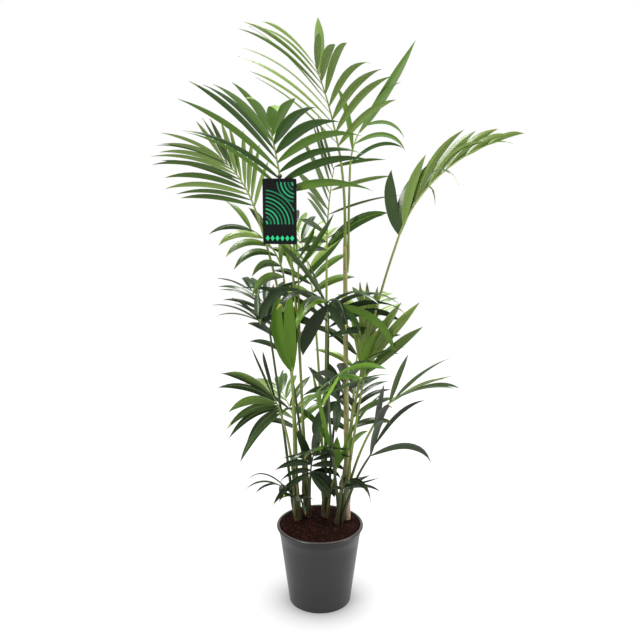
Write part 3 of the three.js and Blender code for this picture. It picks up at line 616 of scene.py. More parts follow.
# A frond springs from its stem's tip, or from a side, a share up it. Its pairs are on the right
# and on the left as seen from above, looking out along the rib.
FRONDS = dict(
    top_frond=leaf(
        "tall_cane", 252, (0, 34, 54), 262, 265, 80, "mid", on_top=True, petiole_foot=3.8, roll=2,
        right=pairs(9, (30, 12), -4, 36, 305, turn=-62),
        left=pairs(
            7, (38, 15), 0, 46, 310, width=19,
            reach=((0, 0.82), (0.4, 1), (0.7, 0.84), (1, 0.6)),
        ),
        odd=[lone(0.89, -1, 51, 88, 40, 130, 25, turn=34)],
    ),
    top_right_frond=leaf(
        "tall_cane", 22, (0, 2, 40), 225, 125, 90, "bright", up=0.97, side=20, swing=10,
        petiole_foot=3, roll=75,
        right=pairs(2, (50, 14), -4, 54, 200),
        left=pairs(3, (46, 34), -10, 92, 195, width=12),
        odd=[lone(0.75, -1, 6, 0, 6, 285, 34)],
    ),
    upper_middle_frond=leaf(
        "left_back_stem", 252, (0, 38, 62), 895, 250, 28, "bright", up=0.8, side=188, swing=14,
        roll=17, width=26,
        right=pairs(8, (42, 4), -4, 38, 300, width=19),
        left=pairs(8, (56, 8), 8, 44, 305),
    ),
    upper_left_frond=leaf(
        "left_front_stem", 192, (0, 20, 50), 795, 160, 80, "mid", on_top=True, swing=22, roll=-42,
        width=13,
        right=pairs(11, (56, 10), -10, 37, 218),
        left=pairs(9, (36, 18), -12, 20, 190),
    ),
    left_young_frond=leaf(
        "left_front_stem", 191, (0, 6, 60), 606, 170, 28, "mid", up=0.85, side=120, swing=15,
        roll=50,
        right=pairs(3, (20, 45), 15, 90, 145),
        left=pairs(6, (70, 8), 3, 70, 177),
    ),
    centre_spear_frond=leaf(
        "left_back_stem", 245, (10, 6, 64), 586, 112, 90, "young", on_top=True, swing=28, roll=18,
        right=pairs(3, (96, 10), 55, 0, 150),
        left=pairs(3, (56, 13), 54, 3, 185),
        odd=[lone(0.15, 1, 110, -30, 145, 155, 24, tone="dark")],
    ),
    upper_back_frond=leaf(
        "middle_stem", 84, (2, 0, 16), 655, 223, 90, "mid", on_top=True, swing=-36, roll=-60,
        width=17,
        right=pairs(4, (65, 70), 33, 12, 190, turn=60),
        left=pairs(11, (79, 51), 50, 14, 280),
        odd=[lone(0.05, 1, 38, 33, 50, 185, 31, tone="young")],
    ),
    right_arching_frond=leaf(
        "right_front_stem", -8, (7, 18, 67), 728, 325, 90, "mid", on_top=True, swing=-6, width=26,
        reach=((0, 0.85), (0.3, 1), (1, 0.42)),
        right=pairs(6, (18, 9), 88, 52, 215, width=23),
        left=pairs(4, (14, 6), 84, 66, 185, width=20),
        odd=[
            lone(0.02, -1, 38, 86, -45, 172, 32, tone="dark"),
            lone(0.03, -1, 17, 81, 165, 225, 40, tone="dark"),
            lone(0.09, -1, 23, 44, 265, 272, 16),
            lone(0.25, 1, 33, 17, 123, 310, 14),
            lone(0.51, 1, 22, 85, 116, 170, 8),
        ],
    ),
    left_small_frond=leaf(
        "left_front_stem", 189, (6, 8, 72), 478, 58, 28, "dark", up=0.6, side=190, swing=-28,
        roll=10,
        right=pairs(3, (50, 58), 26, 6, 150),
        left=pairs(4, (38, 6), 24, 56, 158),
    ),
    split_leaf_frond=leaf(
        "left_front_stem", 240, (7, 5, 14), 394, 100, 199, "young", up=0.55, side=290, swing=30,
        roll=8, pairs=0,
        odd=[
            lone(0.05, 1, 23, -27, -76, 223, 28),
            lone(0.05, -1, 6, -84, -20, 231, 38),
            lone(0.15, 1, 12, 30, 8, 190, 30),
            lone(0.13, -1, 3, 0, 0, 170, 24),
        ],
    ),
    centre_dark_frond=leaf(
        "middle_stem", 292, (3, 10, 68), 465, 168, 19, "dark", up=0.7, side=270, swing=-28, roll=5,
        width=26,
        right=pairs(5, (72, 14), 20, 80, 255),
        left=pairs(6, (70, 20), 22, 110, 235),
        odd=[
            lone(0.94, 1, 24, 2, 160, 165, 28, turn=-45, tone="bright"),
            lone(0.95, -1, 110, -10, 150, 135, 18, turn=40, tone="bright"),
            lone(0.8, -1, 110, 10, 190, 265, 18, turn=60, tone="bright"),
            lone(0.83, 1, 42, 50, 40, 220, 15, turn=-45, tone="mid"),
            lone(0.6, 1, 40, 60, 20, 150, 22, turn=-20),
            lone(0.8, 1, 110, -45, 50, 145, 36, turn=40),
            lone(0.8, -1, 110, -40, 150, 90, 28, turn=80),
        ],
    ),
    right_middle_frond=leaf(
        "right_front_stem", 347, (7, 9, 11), 355, 76, 33, "mid", up=0.75, side=335, swing=9,
        roll=-60, width=26,
        right=pairs(3, (40, 16), -14, 12, 226),
        left=pairs(4, (26, 4), -4, 4, 232),
        odd=[
            lone(0.03, -1, 17, -3, 60, 185, 20, turn=-27, tone="bright"),
            lone(0.02, 1, 4, 50, 17, 145, 38, turn=38, tone="bright"),
            lone(0.04, -1, 17, -20, 0, 250, 11, turn=-36),
        ],
    ),
    front_bright_frond=leaf(
        "right_front_stem", 245, (15, 38, 75), 410, 190, 90, "bright", up=0.6, side=250, swing=38,
        roll=-28,
        right=pairs(3, (46, 46), -12, 24, 170),
        left=pairs(3, (60, 5), -9, 40, 180),
        odd=[
            lone(0.52, -1, 21, -40, 36, 131, 13, turn=-55),
            lone(0.78, -1, 40, 0, 61, 157, 13, turn=-38),
            lone(0.3, 1, 37, -20, 98, 72, 13),
        ],
    ),
    left_fan_frond=leaf(
        "left_front_stem", 198, (1, 17, 28), 297, 58, 28, "mid", up=0.3, side=240, swing=5, roll=36,
        right=pairs(3, (84, 30), -7, 20, 200),
        left=pairs(8, (80, 18), -6, 40, 260),
    ),
    left_low_frond=leaf(
        "left_front_stem", 210, (13, 16, 56), 48, 82, 204, "dark", up=0.08, side=300, width=16,
        right=pairs(3, (90, 8), 15, 112, 158),
        left=pairs(3, (51, 8), 16, 97, 140),
        odd=[
            lone(0.26, -1, 9, -70, 200, 63, 13, turn=-34),
            lone(0.12, -1, 42, 17, 190, 108, 15, turn=22),
        ],
    ),
    right_spreading_frond=leaf(
        "right_front_stem", 354, (11, 35, 62), 328, 50, 205, "mid", up=0.45, side=30, roll=42,
        width=20,
        right=pairs(3, (45, 10), 5, 34, 215),
        left=pairs(3, (40, 34), 14, 45, 245),
    ),
    right_low_frond=leaf(
        "right_front_stem", 346, (14, 31, 8), 200, 50, 28, "dark", up=0.2, side=310, swing=-4,
        roll=36, width=26,
        right=pairs(3, (30, 8), -3, 97, 300),
        left=pairs(2, (60, 15), 5, 96, 244),
    ),
    low_bright_frond=leaf(
        "middle_stem", 299, (10, 36, 3), 138, 54, 33, "young", up=0.15, side=300, swing=-14,
        roll=-4, pairs=0,
        odd=[
            lone(0.95, 1, 25, 65, 269, 298, 22),
            lone(0.95, 1, 25, -27, 100, 140, 14, turn=12),
            lone(0.58, 1, 4, 16, 0, 107, 24, turn=-18),
            lone(0.6, -1, 43, 44, 110, 150, 16, turn=36),
            lone(0.8, -1, 28, 31, 62, 240, 9, turn=31),
            lone(0.55, 1, 19, 48, 0, 320, 13, tone="bright"),
        ],
    ),
    low_star_frond=leaf(
        "right_front_stem", 300, (8, 16, 50), 95, 60, 7, "dark", up=0.05, side=255, pairs=2,
        spread=(75, 20), lift=10, droop=70, width=15, leaflet=90,
        odd=[
            lone(0.42, -1, 5, -54, 200, 158, 15, turn=-70),
            lone(0.55, -1, 110, 60, 130, 175, 20),
            lone(0.5, -1, 46, -8, 0, 83, 10, turn=72),
            lone(0.53, -1, 74, -13, 0, 103, 9, turn=19),
            lone(0.66, -1, 92, -7, 39, 129, 9, turn=44),
        ],
    ),
    low_dark_frond=leaf(
        "left_back_stem", 285, (5, 12, 58), 118, 125, 12, "dark", up=0.25, side=285, pairs=6,
        spread=(80, 15), lift=4, droop=70, width=27, leaflet=118,
        odd=[
            lone(0.05, -1, 110, -20, 90, 110, 36, turn=25),
            lone(0.3, 1, 23, 5, 0, 155, 20, turn=28),
            lone(0.03, 1, 110, 0, 20, 75, 11, turn=32),
            lone(0.6, -1, 110, 66, 0, 185, 31, turn=73),
            lone(0.04, 1, 105, -4, 62, 135, 28),
            lone(0.02, -1, 125, -30, 50, 95, 30),
        ],
    ),
    inner_dark_frond=leaf(
        "middle_stem", 318, (3, 10, 48), 300, 130, 15, "dark", up=0.5, side=320, pairs=5,
        spread=(58, 16), lift=12, droop=75, width=23, leaflet=185,
        odd=[
            lone(0.05, 1, 110, -38, 200, 94, 23, turn=90),
            lone(0.03, 1, 110, 15, 60, 113, 28, turn=20),
            lone(0.17, 1, 29, 33, 0, 111, 28, turn=12),
            lone(0.15, -1, 110, 0, 165, 150, 20, turn=-20),
            lone(0.11, 1, 53, -6, 0, 210, 20, turn=-12),
        ],
    ),
    back_high_frond=leaf(
        "middle_stem", 112, (3, 15, 62), 540, 240, 41, "mid", up=0.8, side=115, pairs=8,
        spread=(58, 22), lift=25, droop=55, leaflet=150,
    ),
    back_right_frond=leaf(
        "tall_cane", 74, (4, 20, 68), 340, 240, 42, "mid", up=0.1, side=60, pairs=7,
        spread=(58, 22), lift=22, droop=55, leaflet=150,
    ),
    back_left_frond=leaf(
        "left_back_stem", 132, (4, 20, 68), 400, 240, 43, "dark", up=0.6, side=130, pairs=7,
        spread=(58, 22), lift=22, droop=55, leaflet=165,
    ),
    back_low_right_frond=leaf(
        "tall_cane", 80, (8, 32, 74), 210, 170, 44, "dark", up=0.03, side=100, pairs=6,
        spread=(60, 22), lift=20, droop=60, leaflet=145,
    ),
    back_low_left_frond=leaf(
        "left_back_stem", 118, (8, 32, 74), 220, 170, 45, "mid", up=0.2, side=85, pairs=6,
        spread=(60, 22), lift=20, droop=60, leaflet=145,
    ),
)

PETIOLE_STEPS = 10
RIB_STEPS = 16
PETIOLE_EASE = 1.5
CLASP_LENGTH = 46.0
CLASP_SWELL = 0.4
SWELL_FADES = 28.0
STALK_SLIM = 0.92
RIDGE_FINENESS = 420.0
PETIOLE_SIDES, PETIOLE_RIDGE = 14, 0.0007
RIB_SIDES, RIB_RIDGE = 8, 0.0003
RIDGE_STRETCH = (1.0, 1.0, 0.08)
DARK_STALKS = ("front_bright_frond",)


def heading_along(frond, share):
    total = frond["petiole"] + frond["blade"]
    walked = frond["petiole"] + share * frond["blade"]
    return frond["heading"] + frond["swing"] * walked / total


def walk(start, length, steps, lean_at, heading_at):
    points = [start]
    for i in range(steps):
        share = (i + 0.5) / steps
        points.append(points[-1] + direction(lean_at(share), heading_at(share)) * length / steps)
    return np.array(points)


def foot_point(frond):
    name = frond["stem"]
    if frond["on_top"]:
        return stem_point(name, 1) + direction(*STEMS[name][5:]) * GAP
    clear = stem_radius(name, frond["up"]) + frond["petiole_foot"] + GAP
    return stem_point(name, frond["up"]) + flat_heading(frond["side"]) * clear


def frond_path(frond):
    """The petiole's and the rib's points, each leaning on from the one before."""
    foot, neck, tip = frond["lean"]
    total = frond["petiole"] + frond["blade"]
    petiole = walk(
        foot_point(frond),
        frond["petiole"],
        PETIOLE_STEPS,
        lambda share: mixed(foot, neck, share**PETIOLE_EASE),
        lambda share: frond["heading"] + frond["swing"] * share * frond["petiole"] / total,
    )
    rib = walk(
        petiole[-1] + direction(neck, heading_along(frond, 0)) * GAP,
        frond["blade"],
        RIB_STEPS,
        lambda share: mixed(neck, tip, share),
        lambda share: heading_along(frond, share),
    )
    return petiole, rib


def smoothed(points, parts):
    """A finer line through the same points, by Catmull and Rom's rule."""
    padded = np.vstack([2 * points[0] - points[1], points, 2 * points[-1] - points[-2]])
    line = []
    for i in range(1, len(padded) - 2):
        a, b, c, d = padded[i - 1 : i + 3]
        for part in range(parts):
            t = part / parts
            line.append(
                0.5 * (2 * b + (c - a) * t + (2 * a - 5 * b + 4 * c - d) * t**2)
                + 0.5 * (3 * b - a - 3 * c + d) * t**3
            )
    line.append(points[-1])
    return line


def clasp(frond, petiole):
    """The stalk's sheath runs on down its stem, swollen, and sinks into it above the soil."""
    axis = direction(*STEMS[frond["stem"]][5:])
    inward = np.zeros(3) if frond["on_top"] else -flat_heading(frond["side"])
    down = []
    for share in (1.0, 0.66, 0.33):
        drop = CLASP_LENGTH * share
        place = petiole[0] - axis * drop + inward * frond["petiole_foot"] * 1.1 * share
        if place[2] > STEM_FOOT - 2:
            down.append(place)
    return down


paths = {name: frond_path(frond) for name, frond in FRONDS.items()}

rod_sockets = {
    "Sides": "Int",
    "Ridge depth": "Float",
    "Ridge fineness": "Float",
    "Stalk material": "Material",
}
rod_tree, given = tree_with("ridged_stalks", rod_sockets)
section = {"Resolution": given["Sides"], "Radius": 1.0}
sweep = {
    "Curve": node(rod_tree, "GeometryNodeMeshToCurve", {"Mesh": given["Geometry"]}),
    "Profile Curve": node(rod_tree, "GeometryNodeCurvePrimitiveCircle", section),
    "Scale": node(rod_tree, "GeometryNodeInputNamedAttribute", {"Name": "thickness"}),
    "Fill Caps": True,
}
swept = node(rod_tree, "GeometryNodeCurveToMesh", sweep)
places = {0: node(rod_tree, "GeometryNodeInputPosition"), 1: RIDGE_STRETCH}
stretched = node(rod_tree, "ShaderNodeVectorMath", places, operation="MULTIPLY")
ridges = noise(rod_tree, stretched, given["Ridge fineness"], 2.0)
heights = worked(rod_tree, "MULTIPLY", ridges, given["Ridge depth"])
outward = {0: node(rod_tree, "GeometryNodeInputNormal"), "Scale": heights}
push = node(rod_tree, "ShaderNodeVectorMath", outward, operation="SCALE")
ridged = node(rod_tree, "GeometryNodeSetPosition", {"Geometry": swept, "Offset": push})
smooth = node(rod_tree, "GeometryNodeSetShadeSmooth", {"Geometry": ridged})
end_tree(rod_tree, smooth, given["Stalk material"])


def stalks(name, lines, material, sides, ridge_depth):
    """Ridged rods along the lines; each line is its points and their radii in mm."""
    places, edges, radii = [], [], []
    for points, thick in lines:
        first = len(places)
        edges += [(first + i, first + i + 1) for i in range(len(points) - 1)]
        places += points
        radii += [value * MM for value in thick]
    mesh = mesh_named(name + "_lines", places, [], edges=edges)
    mesh.attributes.new("thickness", "FLOAT", "POINT").data.foreach_set("value", radii)
    base = new_object(name + "_lines", mesh)
    values = dict(zip(rod_sockets, (sides, ridge_depth, RIDGE_FINENESS, material)))
    made = new_object(name, grown(name, base, rod_tree, values))
    bpy.data.objects.remove(base)
    return made


def stalk_finish(name, low, high, low_height, high_height):
    """Stalk skin: a brown sheath at the soil turning green, finely streaked and waxy."""
    material = bark_finish(name, low, high, low_height, high_height, 900.0, 0.3, 0.42)
    feed(shader(material), {"Coat Weight": 0.12})
    return material


green_stalk = stalk_finish("green_stalk", srgb(84, 74, 42), srgb(136, 152, 74), 0.24, 0.46)
dark_stalk = stalk_finish("dark_stalk", srgb(60, 50, 34), srgb(58, 76, 34), 0.24, 0.34)
straw_rib = stalk_finish("straw_rib", srgb(120, 142, 66), srgb(150, 164, 84), 0.3, 0.6)
dark_rib = stalk_finish("dark_rib", srgb(62, 82, 46), srgb(74, 90, 52), 0.3, 0.6)

stalk_kinds = {
    name: "dark" if frond["tone"] == "dark" or name in DARK_STALKS else "green"
    for name, frond in FRONDS.items()
}
petiole_groups = {"green": [], "dark": []}
rib_groups = {"green": [], "dark": []}
for name, frond in FRONDS.items():
    petiole, rib = paths[name]
    stalk, fine_rib = smoothed(petiole, 4), smoothed(rib, 2)
    foot, neck, tip = frond["petiole_foot"], frond["petiole_tip"], frond["rib_tip"]
    radii = []
    for i in range(len(stalk)):
        share = i / (len(stalk) - 1)
        swell = 1 + CLASP_SWELL * exp(-share * frond["petiole"] / SWELL_FADES)
        radii.append(mixed(foot, neck, share) * swell * STALK_SLIM)
    down = clasp(frond, petiole)
    radii = [radii[0] * (0.75 + 0.1 * i) for i in range(len(down))] + radii
    last = len(fine_rib) - 1
    thick = [mixed(neck, tip, i / last) * STALK_SLIM for i in range(last + 1)]
    petiole_groups[stalk_kinds[name]].append((down + stalk, radii))
    rib_groups[stalk_kinds[name]].append((fine_rib, thick))

for kind, finish in (("green", green_stalk), ("dark", dark_stalk)):
    lines = petiole_groups[kind]
    petioles = stalks(kind + "_petioles", lines, finish, PETIOLE_SIDES, PETIOLE_RIDGE)
    owners = [name + "_petiole" for name, own in stalk_kinds.items() if own == kind]
    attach(petioles, "root")
    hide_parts(*owners)
for kind, finish in (("green", straw_rib), ("dark", dark_rib)):
    ribs = stalks(kind + "_ribs", rib_groups[kind], finish, RIB_SIDES, RIB_RIDGE)
    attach(ribs, "root")

# ---- leaflets -----------------------------------------------------------------------------
# Each frond's leaflets: long leathery blades in pairs along the rib, folded along a pale midrib
# and drooping outward, dark and waxy above, paler beneath, the undersides lightened further with
# painted light that stands for light through the blade. They grow by the frond's seeded rule.
LEAF_ROWS = 12
DRAWS = 6
LEAF_WIDTH = ((0, 0.14), (0.05, 0.34), (0.12, 0.6), (0.22, 0.84), (0.35, 0.97), (0.5, 1.0))
LEAF_WIDTH += ((0.65, 0.95), (0.78, 0.76), (0.88, 0.46), (0.95, 0.2), (1, 0.015))
LEAF_MID = 0.55
LEAF_EDGE = 0.2
LEAF_SHARP = 60
MIDRIB_SHARE = 0.07
MIDRIB_PROUD = 0.25
BLADE_TOP = (-1.0, -0.5, -MIDRIB_SHARE, MIDRIB_SHARE, 0.5, 1.0)
BLADE_COLUMNS = BLADE_TOP + (0.45, 0.0, -0.45)
MIDRIB_SIDE = 2
UNDER_KIND, MIDRIB_KIND, TIP_KIND = 4, 6, 7
ROOT_SHIFT = 0.5
FIRST_PAIR = 0.25
STAGGER = 0.3
FULL_REACH = ((0, 1), (1, 1))
NEARLY_ALONG = 8
BEND_EASE = 1.5
HANGS = 0.96
SPREAD_VARIES = 0.14
LIFT_VARIES = 10
LENGTH_VARIES = 0.12
DROOP_VARIES = 0.5
WIDTH_LEAST, WIDTH_VARIES = 0.85, 0.3
FOLD_LEAST, FOLD_VARIES = 0.2, 0.3
TWIST = 26.0
DOWN = np.array([0.0, 0.0, -1.0])
TONES_APART = 1000
TIPPED, STRAW_TIPPED = 0.16, 0.11
TIP_COLOURS = {"straw": ((150, 150, 70), 0.55), "brown": ((128, 104, 62), 0.65)}

# Each tone's upper side from light to deep, then its underside, midrib and slot. The shine falls
# from light to deep too. A frond's depth moves its leaflets towards the deep end or the light one.
# Part of this is painted light and shade: the deepest shades are about as dark as leaves in shade
# look, a frond's depth lightens fronds that stand in the light, such as the crown's top, and darkens
# some that stand in shade, and the undersides are lightened as painted light through the blade.
LEAVES = {
    "bright": (
        ((108, 144, 38), (80, 117, 21), (52, 87, 11), (34, 60, 7)),
        ((90, 127, 34), (52, 86, 14)),
        (104, 134, 46),
        "leaf_bright",
    ),
    "mid": (
        ((115, 140, 57), (80, 106, 34), (49, 72, 20), (29, 46, 11)),
        ((122, 147, 74), (70, 95, 38)),
        (88, 110, 50),
        "leaf_green",
    ),
    "dark": (
        ((56, 76, 36), (40, 58, 26), (28, 44, 17), (18, 30, 10)),
        ((50, 68, 38), (32, 46, 22)),
        (58, 78, 38),
        "leaf_dark",
    ),
    "young": (
        ((92, 132, 18), (70, 110, 11), (52, 88, 9), (40, 68, 8)),
        ((82, 118, 22), (56, 90, 13)),
        (124, 152, 52),
        "leaf_young",
    ),
}
LEAF_SHINE = (0.6, 0.5, 0.38, 0.3)
# Partly painted light and shade: fronds that stand in the light are moved lighter, some in shade
# darker.
FROND_DEPTH_AND_PAINTED_LIGHT = {
    "upper_middle_frond": 0.05,
    "upper_left_frond": -0.2,
    "top_frond": -0.7,
    "top_right_frond": -0.35,
    "right_arching_frond": -0.25,
    "right_middle_frond": -0.3,
    "left_fan_frond": 0.25,
    "right_spreading_frond": 0.2,
}


def seeded(seed):
    """The solids' own random draws, so that both grow the same leaflets."""
    state = [seed & 0xFFFFFFFF]

    def draw():
        state[0] = (state[0] + 0x6D2B79F5) & 0xFFFFFFFF
        mix = state[0]
        mix = ((mix ^ (mix >> 15)) * (mix | 1)) & 0xFFFFFFFF
        mix ^= (mix + (((mix ^ (mix >> 7)) * (mix | 61)) & 0xFFFFFFFF)) & 0xFFFFFFFF
        return ((mix ^ (mix >> 14)) & 0xFFFFFFFF) / 4294967296

    return draw


def profile(stops, place):
    for (a, low), (b, high) in zip(stops, stops[1:]):
        if place <= b:
            return mixed(low, high, (place - a) / (b - a))
    return stops[-1][1]


def turned_about(vector, axis, angle):
    c, s = cos(angle), sin(angle)
    return vector * c + np.cross(axis, vector) * s + axis * (axis @ vector) * (1 - c)


def rib_frame(frond, rib, share):
    place = share * RIB_STEPS
    low = min(RIB_STEPS - 1, int(place))
    point = rib[low] + (rib[low + 1] - rib[low]) * (place - low)
    heading = heading_along(frond, share)
    along = direction(mixed(frond["lean"][1], frond["lean"][2], share), heading)
    level = flat_heading(heading - 90)
    face = np.cross(level, along)
    roll = radians(frond["roll"])
    side = level * cos(roll) + face * sin(roll)
    upper = face * cos(roll) - level * sin(roll)
    return point, along, side, upper


def leaflet(frond, rib, share, hand, draw):
    """One leaflet's rows: centre, direction across, upward normal and half its width."""
    point, along, side, upper = rib_frame(frond, rib, share)
    spread = radians(mixed(*frond["spread"], share)) * (1 + SPREAD_VARIES * (draw[0] - 0.5))
    raised = radians(frond["lift"] + LIFT_VARIES * (draw[1] - 0.5))
    outward = side * hand * cos(raised) + upper * sin(raised)
    start = along * cos(spread) + outward * sin(spread)
    reach = profile(frond["reach"], share)
    length = frond["leaflet"] * reach * (1 + LENGTH_VARIES * (draw[2] - 0.5))
    across = square_to(side if spread < radians(NEARLY_ALONG) else along, start)
    across = turned_about(across, start, radians(frond["turn"]) * hand)
    hinge = unit(np.cross(start, DOWN))
    slope = sqrt(max(0.0, 1 - start[2] ** 2))
    pull = radians(frond["droop"]) * (0.45 + 0.55 * slope)
    pull *= 1 + DROOP_VARIES * (draw[3] - 0.5)
    droop = min(HANGS * acos(max(-1.0, min(1.0, -start[2]))), pull)
    broad = frond["width"] * (WIDTH_LEAST + WIDTH_VARIES * draw[4]) * sqrt(reach)
    centre = point + side * hand * ROOT_SHIFT
    rows = []
    for i in range(LEAF_ROWS + 1):
        t = i / LEAF_ROWS
        tangent = turned_about(start, hinge, droop * t**BEND_EASE)
        wide = square_to(across, tangent)
        normal = np.cross(wide, tangent)
        if normal @ upper < 0:
            normal = -normal
        twist = radians(TWIST) * (draw[5] - 0.5) * 2 * t**BEND_EASE
        wide = turned_about(wide, tangent, twist)
        normal = turned_about(normal, tangent, twist)
        rows.append((centre, wide, normal, broad * profile(LEAF_WIDTH, t) / 2))
        step = turned_about(start, hinge, droop * ((i + 0.5) / LEAF_ROWS) ** BEND_EASE)
        centre = centre + step * length / LEAF_ROWS
    return rows


def leaflets_of(frond, rib):
    """Every leaflet's rows and tone, pair by pair from the rib's foot, then the odd ones."""
    draw = seeded(frond["seed"])
    sides = {1: {**frond, **frond["right"]}, -1: {**frond, **frond["left"]}}
    for pair in range(max(side["pairs"] for side in sides.values())):
        for hand, side in sides.items():
            draws = [draw() for _ in range(DRAWS)]
            if pair < side["pairs"]:
                step = pair + FIRST_PAIR + (STAGGER if hand > 0 else 0)
                share = step / (side["pairs"] - 1 + FIRST_PAIR + STAGGER)
                yield leaflet(side, rib, share, hand, draws), frond["tone"]
    for odd in frond["odd"]:
        draws = [draw() for _ in range(DRAWS)]
        own = {**frond, **odd, "spread": (odd["spread"],) * 2, "reach": FULL_REACH}
        yield leaflet(own, rib, odd["at"], odd["hand"], draws), own["tone"]


class Foliage:
    """Gathers leaflets of one tone into one mesh, with a material index for each face."""

    def __init__(self):
        self.places, self.faces, self.kinds, self.uvs = [], [], [], []

    def add(self, rows, tone, tip, fold):
        first, last = len(self.places), len(rows) - 1
        around = len(BLADE_COLUMNS)
        for centre, wide, normal, half in rows:
            for column, x in enumerate(BLADE_COLUMNS):
                rise = -fold * abs(x) * half
                if column >= len(BLADE_TOP):
                    rise -= mixed(LEAF_MID, LEAF_EDGE, abs(x))
                elif abs(x) == MIDRIB_SHARE:
                    rise += MIDRIB_PROUD
                self.places.append(centre + wide * x * half + normal * rise)
        left_handed = np.cross(rows[0][1], rows[0][2]) @ (rows[1][0] - rows[0][0]) > 0
        order = -1 if left_handed else 1
        for row in range(last):
            low = first + row * around
            for side, face in enumerate(band(low, low + around, around)):
                spots = [(side, row), (side + 1, row), (side + 1, row + 1), (side, row + 1)]
                self.faces.append(face[::order])
                for column, line in spots[::order]:
                    across = BLADE_COLUMNS[column % around]
                    self.uvs.append(((across + 1) / 2, line / last))
                if tip is not None and row == last - 1:
                    self.kinds.append(TIP_KIND + tip)
                elif side == MIDRIB_SIDE:
                    self.kinds.append(MIDRIB_KIND)
                elif side >= len(BLADE_TOP) - 1:
                    self.kinds.append(UNDER_KIND + tone // 2)
                else:
                    self.kinds.append(tone)
        root = tuple(range(first, first + around))
        end = tuple(place + last * around for place in root)
        self.faces += [root[::-order], end[::order]]
        self.uvs += [(0.5, 0.5)] * (2 * around)
        self.kinds += [tone, tone]

    def mesh(self, name, materials):
        made = mesh_named(name, self.places, self.faces, smooth=True)
        for material in materials:
            made.materials.append(material)
        made.polygons.foreach_set("material_index", self.kinds)
        layer = made.uv_layers.new(name="blade")
        layer.data.foreach_set("uv", np.array(self.uvs, dtype=np.float32).ravel())
        made.set_sharp_from_angle(angle=radians(LEAF_SHARP))
        return made


def leaf_finish(name, colour, roughness, shine):
    """Leathery blade: one plain colour, waxy, with fine veins running lengthwise."""
    material = finish_named("leaf_" + name, srgb(*colour), roughness, {"Specular IOR Level": shine})
    tree = material.node_tree
    blade = node(tree, "ShaderNodeUVMap", uv_map="blade")
    stretch = node(tree, "ShaderNodeMapping", {"Vector": blade, "Scale": (26.0, 1.2, 1.0)})
    veins = bumped(tree, noise(tree, stretch, 1.0, 2.0), 0.13, 0.0006)
    feed(shader(material), {"Normal": veins})
    return material


foliage = {tone: Foliage() for tone in LEAVES}
for name, frond in FRONDS.items():
    shade = seeded(frond["seed"] + TONES_APART)
    for rows, kind in leaflets_of(frond, paths[name][1]):
        tone = max(0, min(3, int((shade() + FROND_DEPTH_AND_PAINTED_LIGHT.get(name, 0.0)) * 4)))
        marked = shade()
        tip = None
        if marked < TIPPED:
            tip = 0 if marked < STRAW_TIPPED else 1
        foliage[kind].add(rows, tone, tip, FOLD_LEAST + FOLD_VARIES * shade())
tips = [leaf_finish("tip_" + name, *own, shine=0.2) for name, own in TIP_COLOURS.items()]
for tone, (uppers, unders, midrib, slot) in LEAVES.items():
    finishes = [
        leaf_finish(f"{tone}_{i + 1}", colour, roughness=0.3, shine=LEAF_SHINE[i])
        for i, colour in enumerate(uppers)
    ]
    # Painted light: the undersides are paler, as real ones are, and lightened further to stand for
    # light shining through the blade.
    for i, colour in enumerate(unders):
        finishes.append(leaf_finish(f"{tone}_under_{i + 1}", colour, roughness=0.42, shine=0.3))
    finishes.append(leaf_finish(f"{tone}_midrib", midrib, roughness=0.5, shine=0.2))
    name = tone + "_leaflets"
    leaves = new_object(name, foliage[tone].mesh(name, finishes + tips))
    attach(leaves, "root")
    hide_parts(*[n for n, f in FRONDS.items() if f["tone"] == tone])

# ---- hang tag -----------------------------------------------------------------------------
# A laminated black card on a moulded strap that rings an upper frond's rib. Its print is a plain
# pattern: green ripples about two corners over a row of lozenges, a hair proud of the gloss.
TAG_FROND = "upper_middle_frond"
TAG_WIDTH = 78
TAG_HEIGHT = 150
TAG_THICK = 1.6
TAG_CORNER = 4
TAG_SEAT = 0.245
TAG_TURN = -4
STRAP_WIDE = 4
RING_THICK = 2.4
RING_TURNS = 32
STAND_OFF = 8
RIB_STRIDE = 2
CARD_ROUND = 0.35
PRINT_PROUD = 0.12
PRINT_SUNK = 0.05
PRINT_MARGIN = 5.0
PRINT_GREENS = ((22, 150, 96), (36, 178, 118), (12, 118, 78), (30, 214, 138))
RIPPLE_STEP = 8.5
RIPPLE_BAND = 4.2
LOZENGES = 6
LOZENGE_TALL = 6.5
LOZENGE_RISE = 9.0
LOZENGE_GREEN = 3

# The strap's place on the rib, the rib's direction there and the way out to the card.
tag_frond, tag_rib = FRONDS[TAG_FROND], paths[TAG_FROND][1]
strides = TAG_SEAT * RIB_STEPS / RIB_STRIDE
below = int(strides) * RIB_STRIDE
seat = mixed(tag_rib[below], tag_rib[below + RIB_STRIDE], strides - int(strides))
rib_axis = unit(tag_rib[below + RIB_STRIDE] - tag_rib[below])
rib_radius = mixed(tag_frond["petiole_tip"], tag_frond["rib_tip"], TAG_SEAT)
way_out = square_to(np.array([0.0, -1.0, 0.0]), rib_axis)


def swung(x, y, z):
    """A vector turned about the vertical by as much as the card is."""
    c, s = cos(radians(TAG_TURN)), sin(radians(TAG_TURN))
    return np.array([x * c - y * s, x * s + y * c, z])


def card_outline(inset):
    """The card's edge, corner by corner, drawn in by the inset; across and up in mm."""
    outline = []
    reach = TAG_CORNER - inset
    for x, z, first in ((1, -1, -90), (1, 0, 0), (-1, 0, 90), (-1, -1, 180)):
        centre_x = x * (TAG_WIDTH / 2 - TAG_CORNER)
        centre_z = -TAG_CORNER if z == 0 else -TAG_HEIGHT + TAG_CORNER
        for step in range(7):
            angle = radians(first + 15 * step)
            outline.append((centre_x + reach * cos(angle), centre_z + reach * sin(angle)))
    return outline


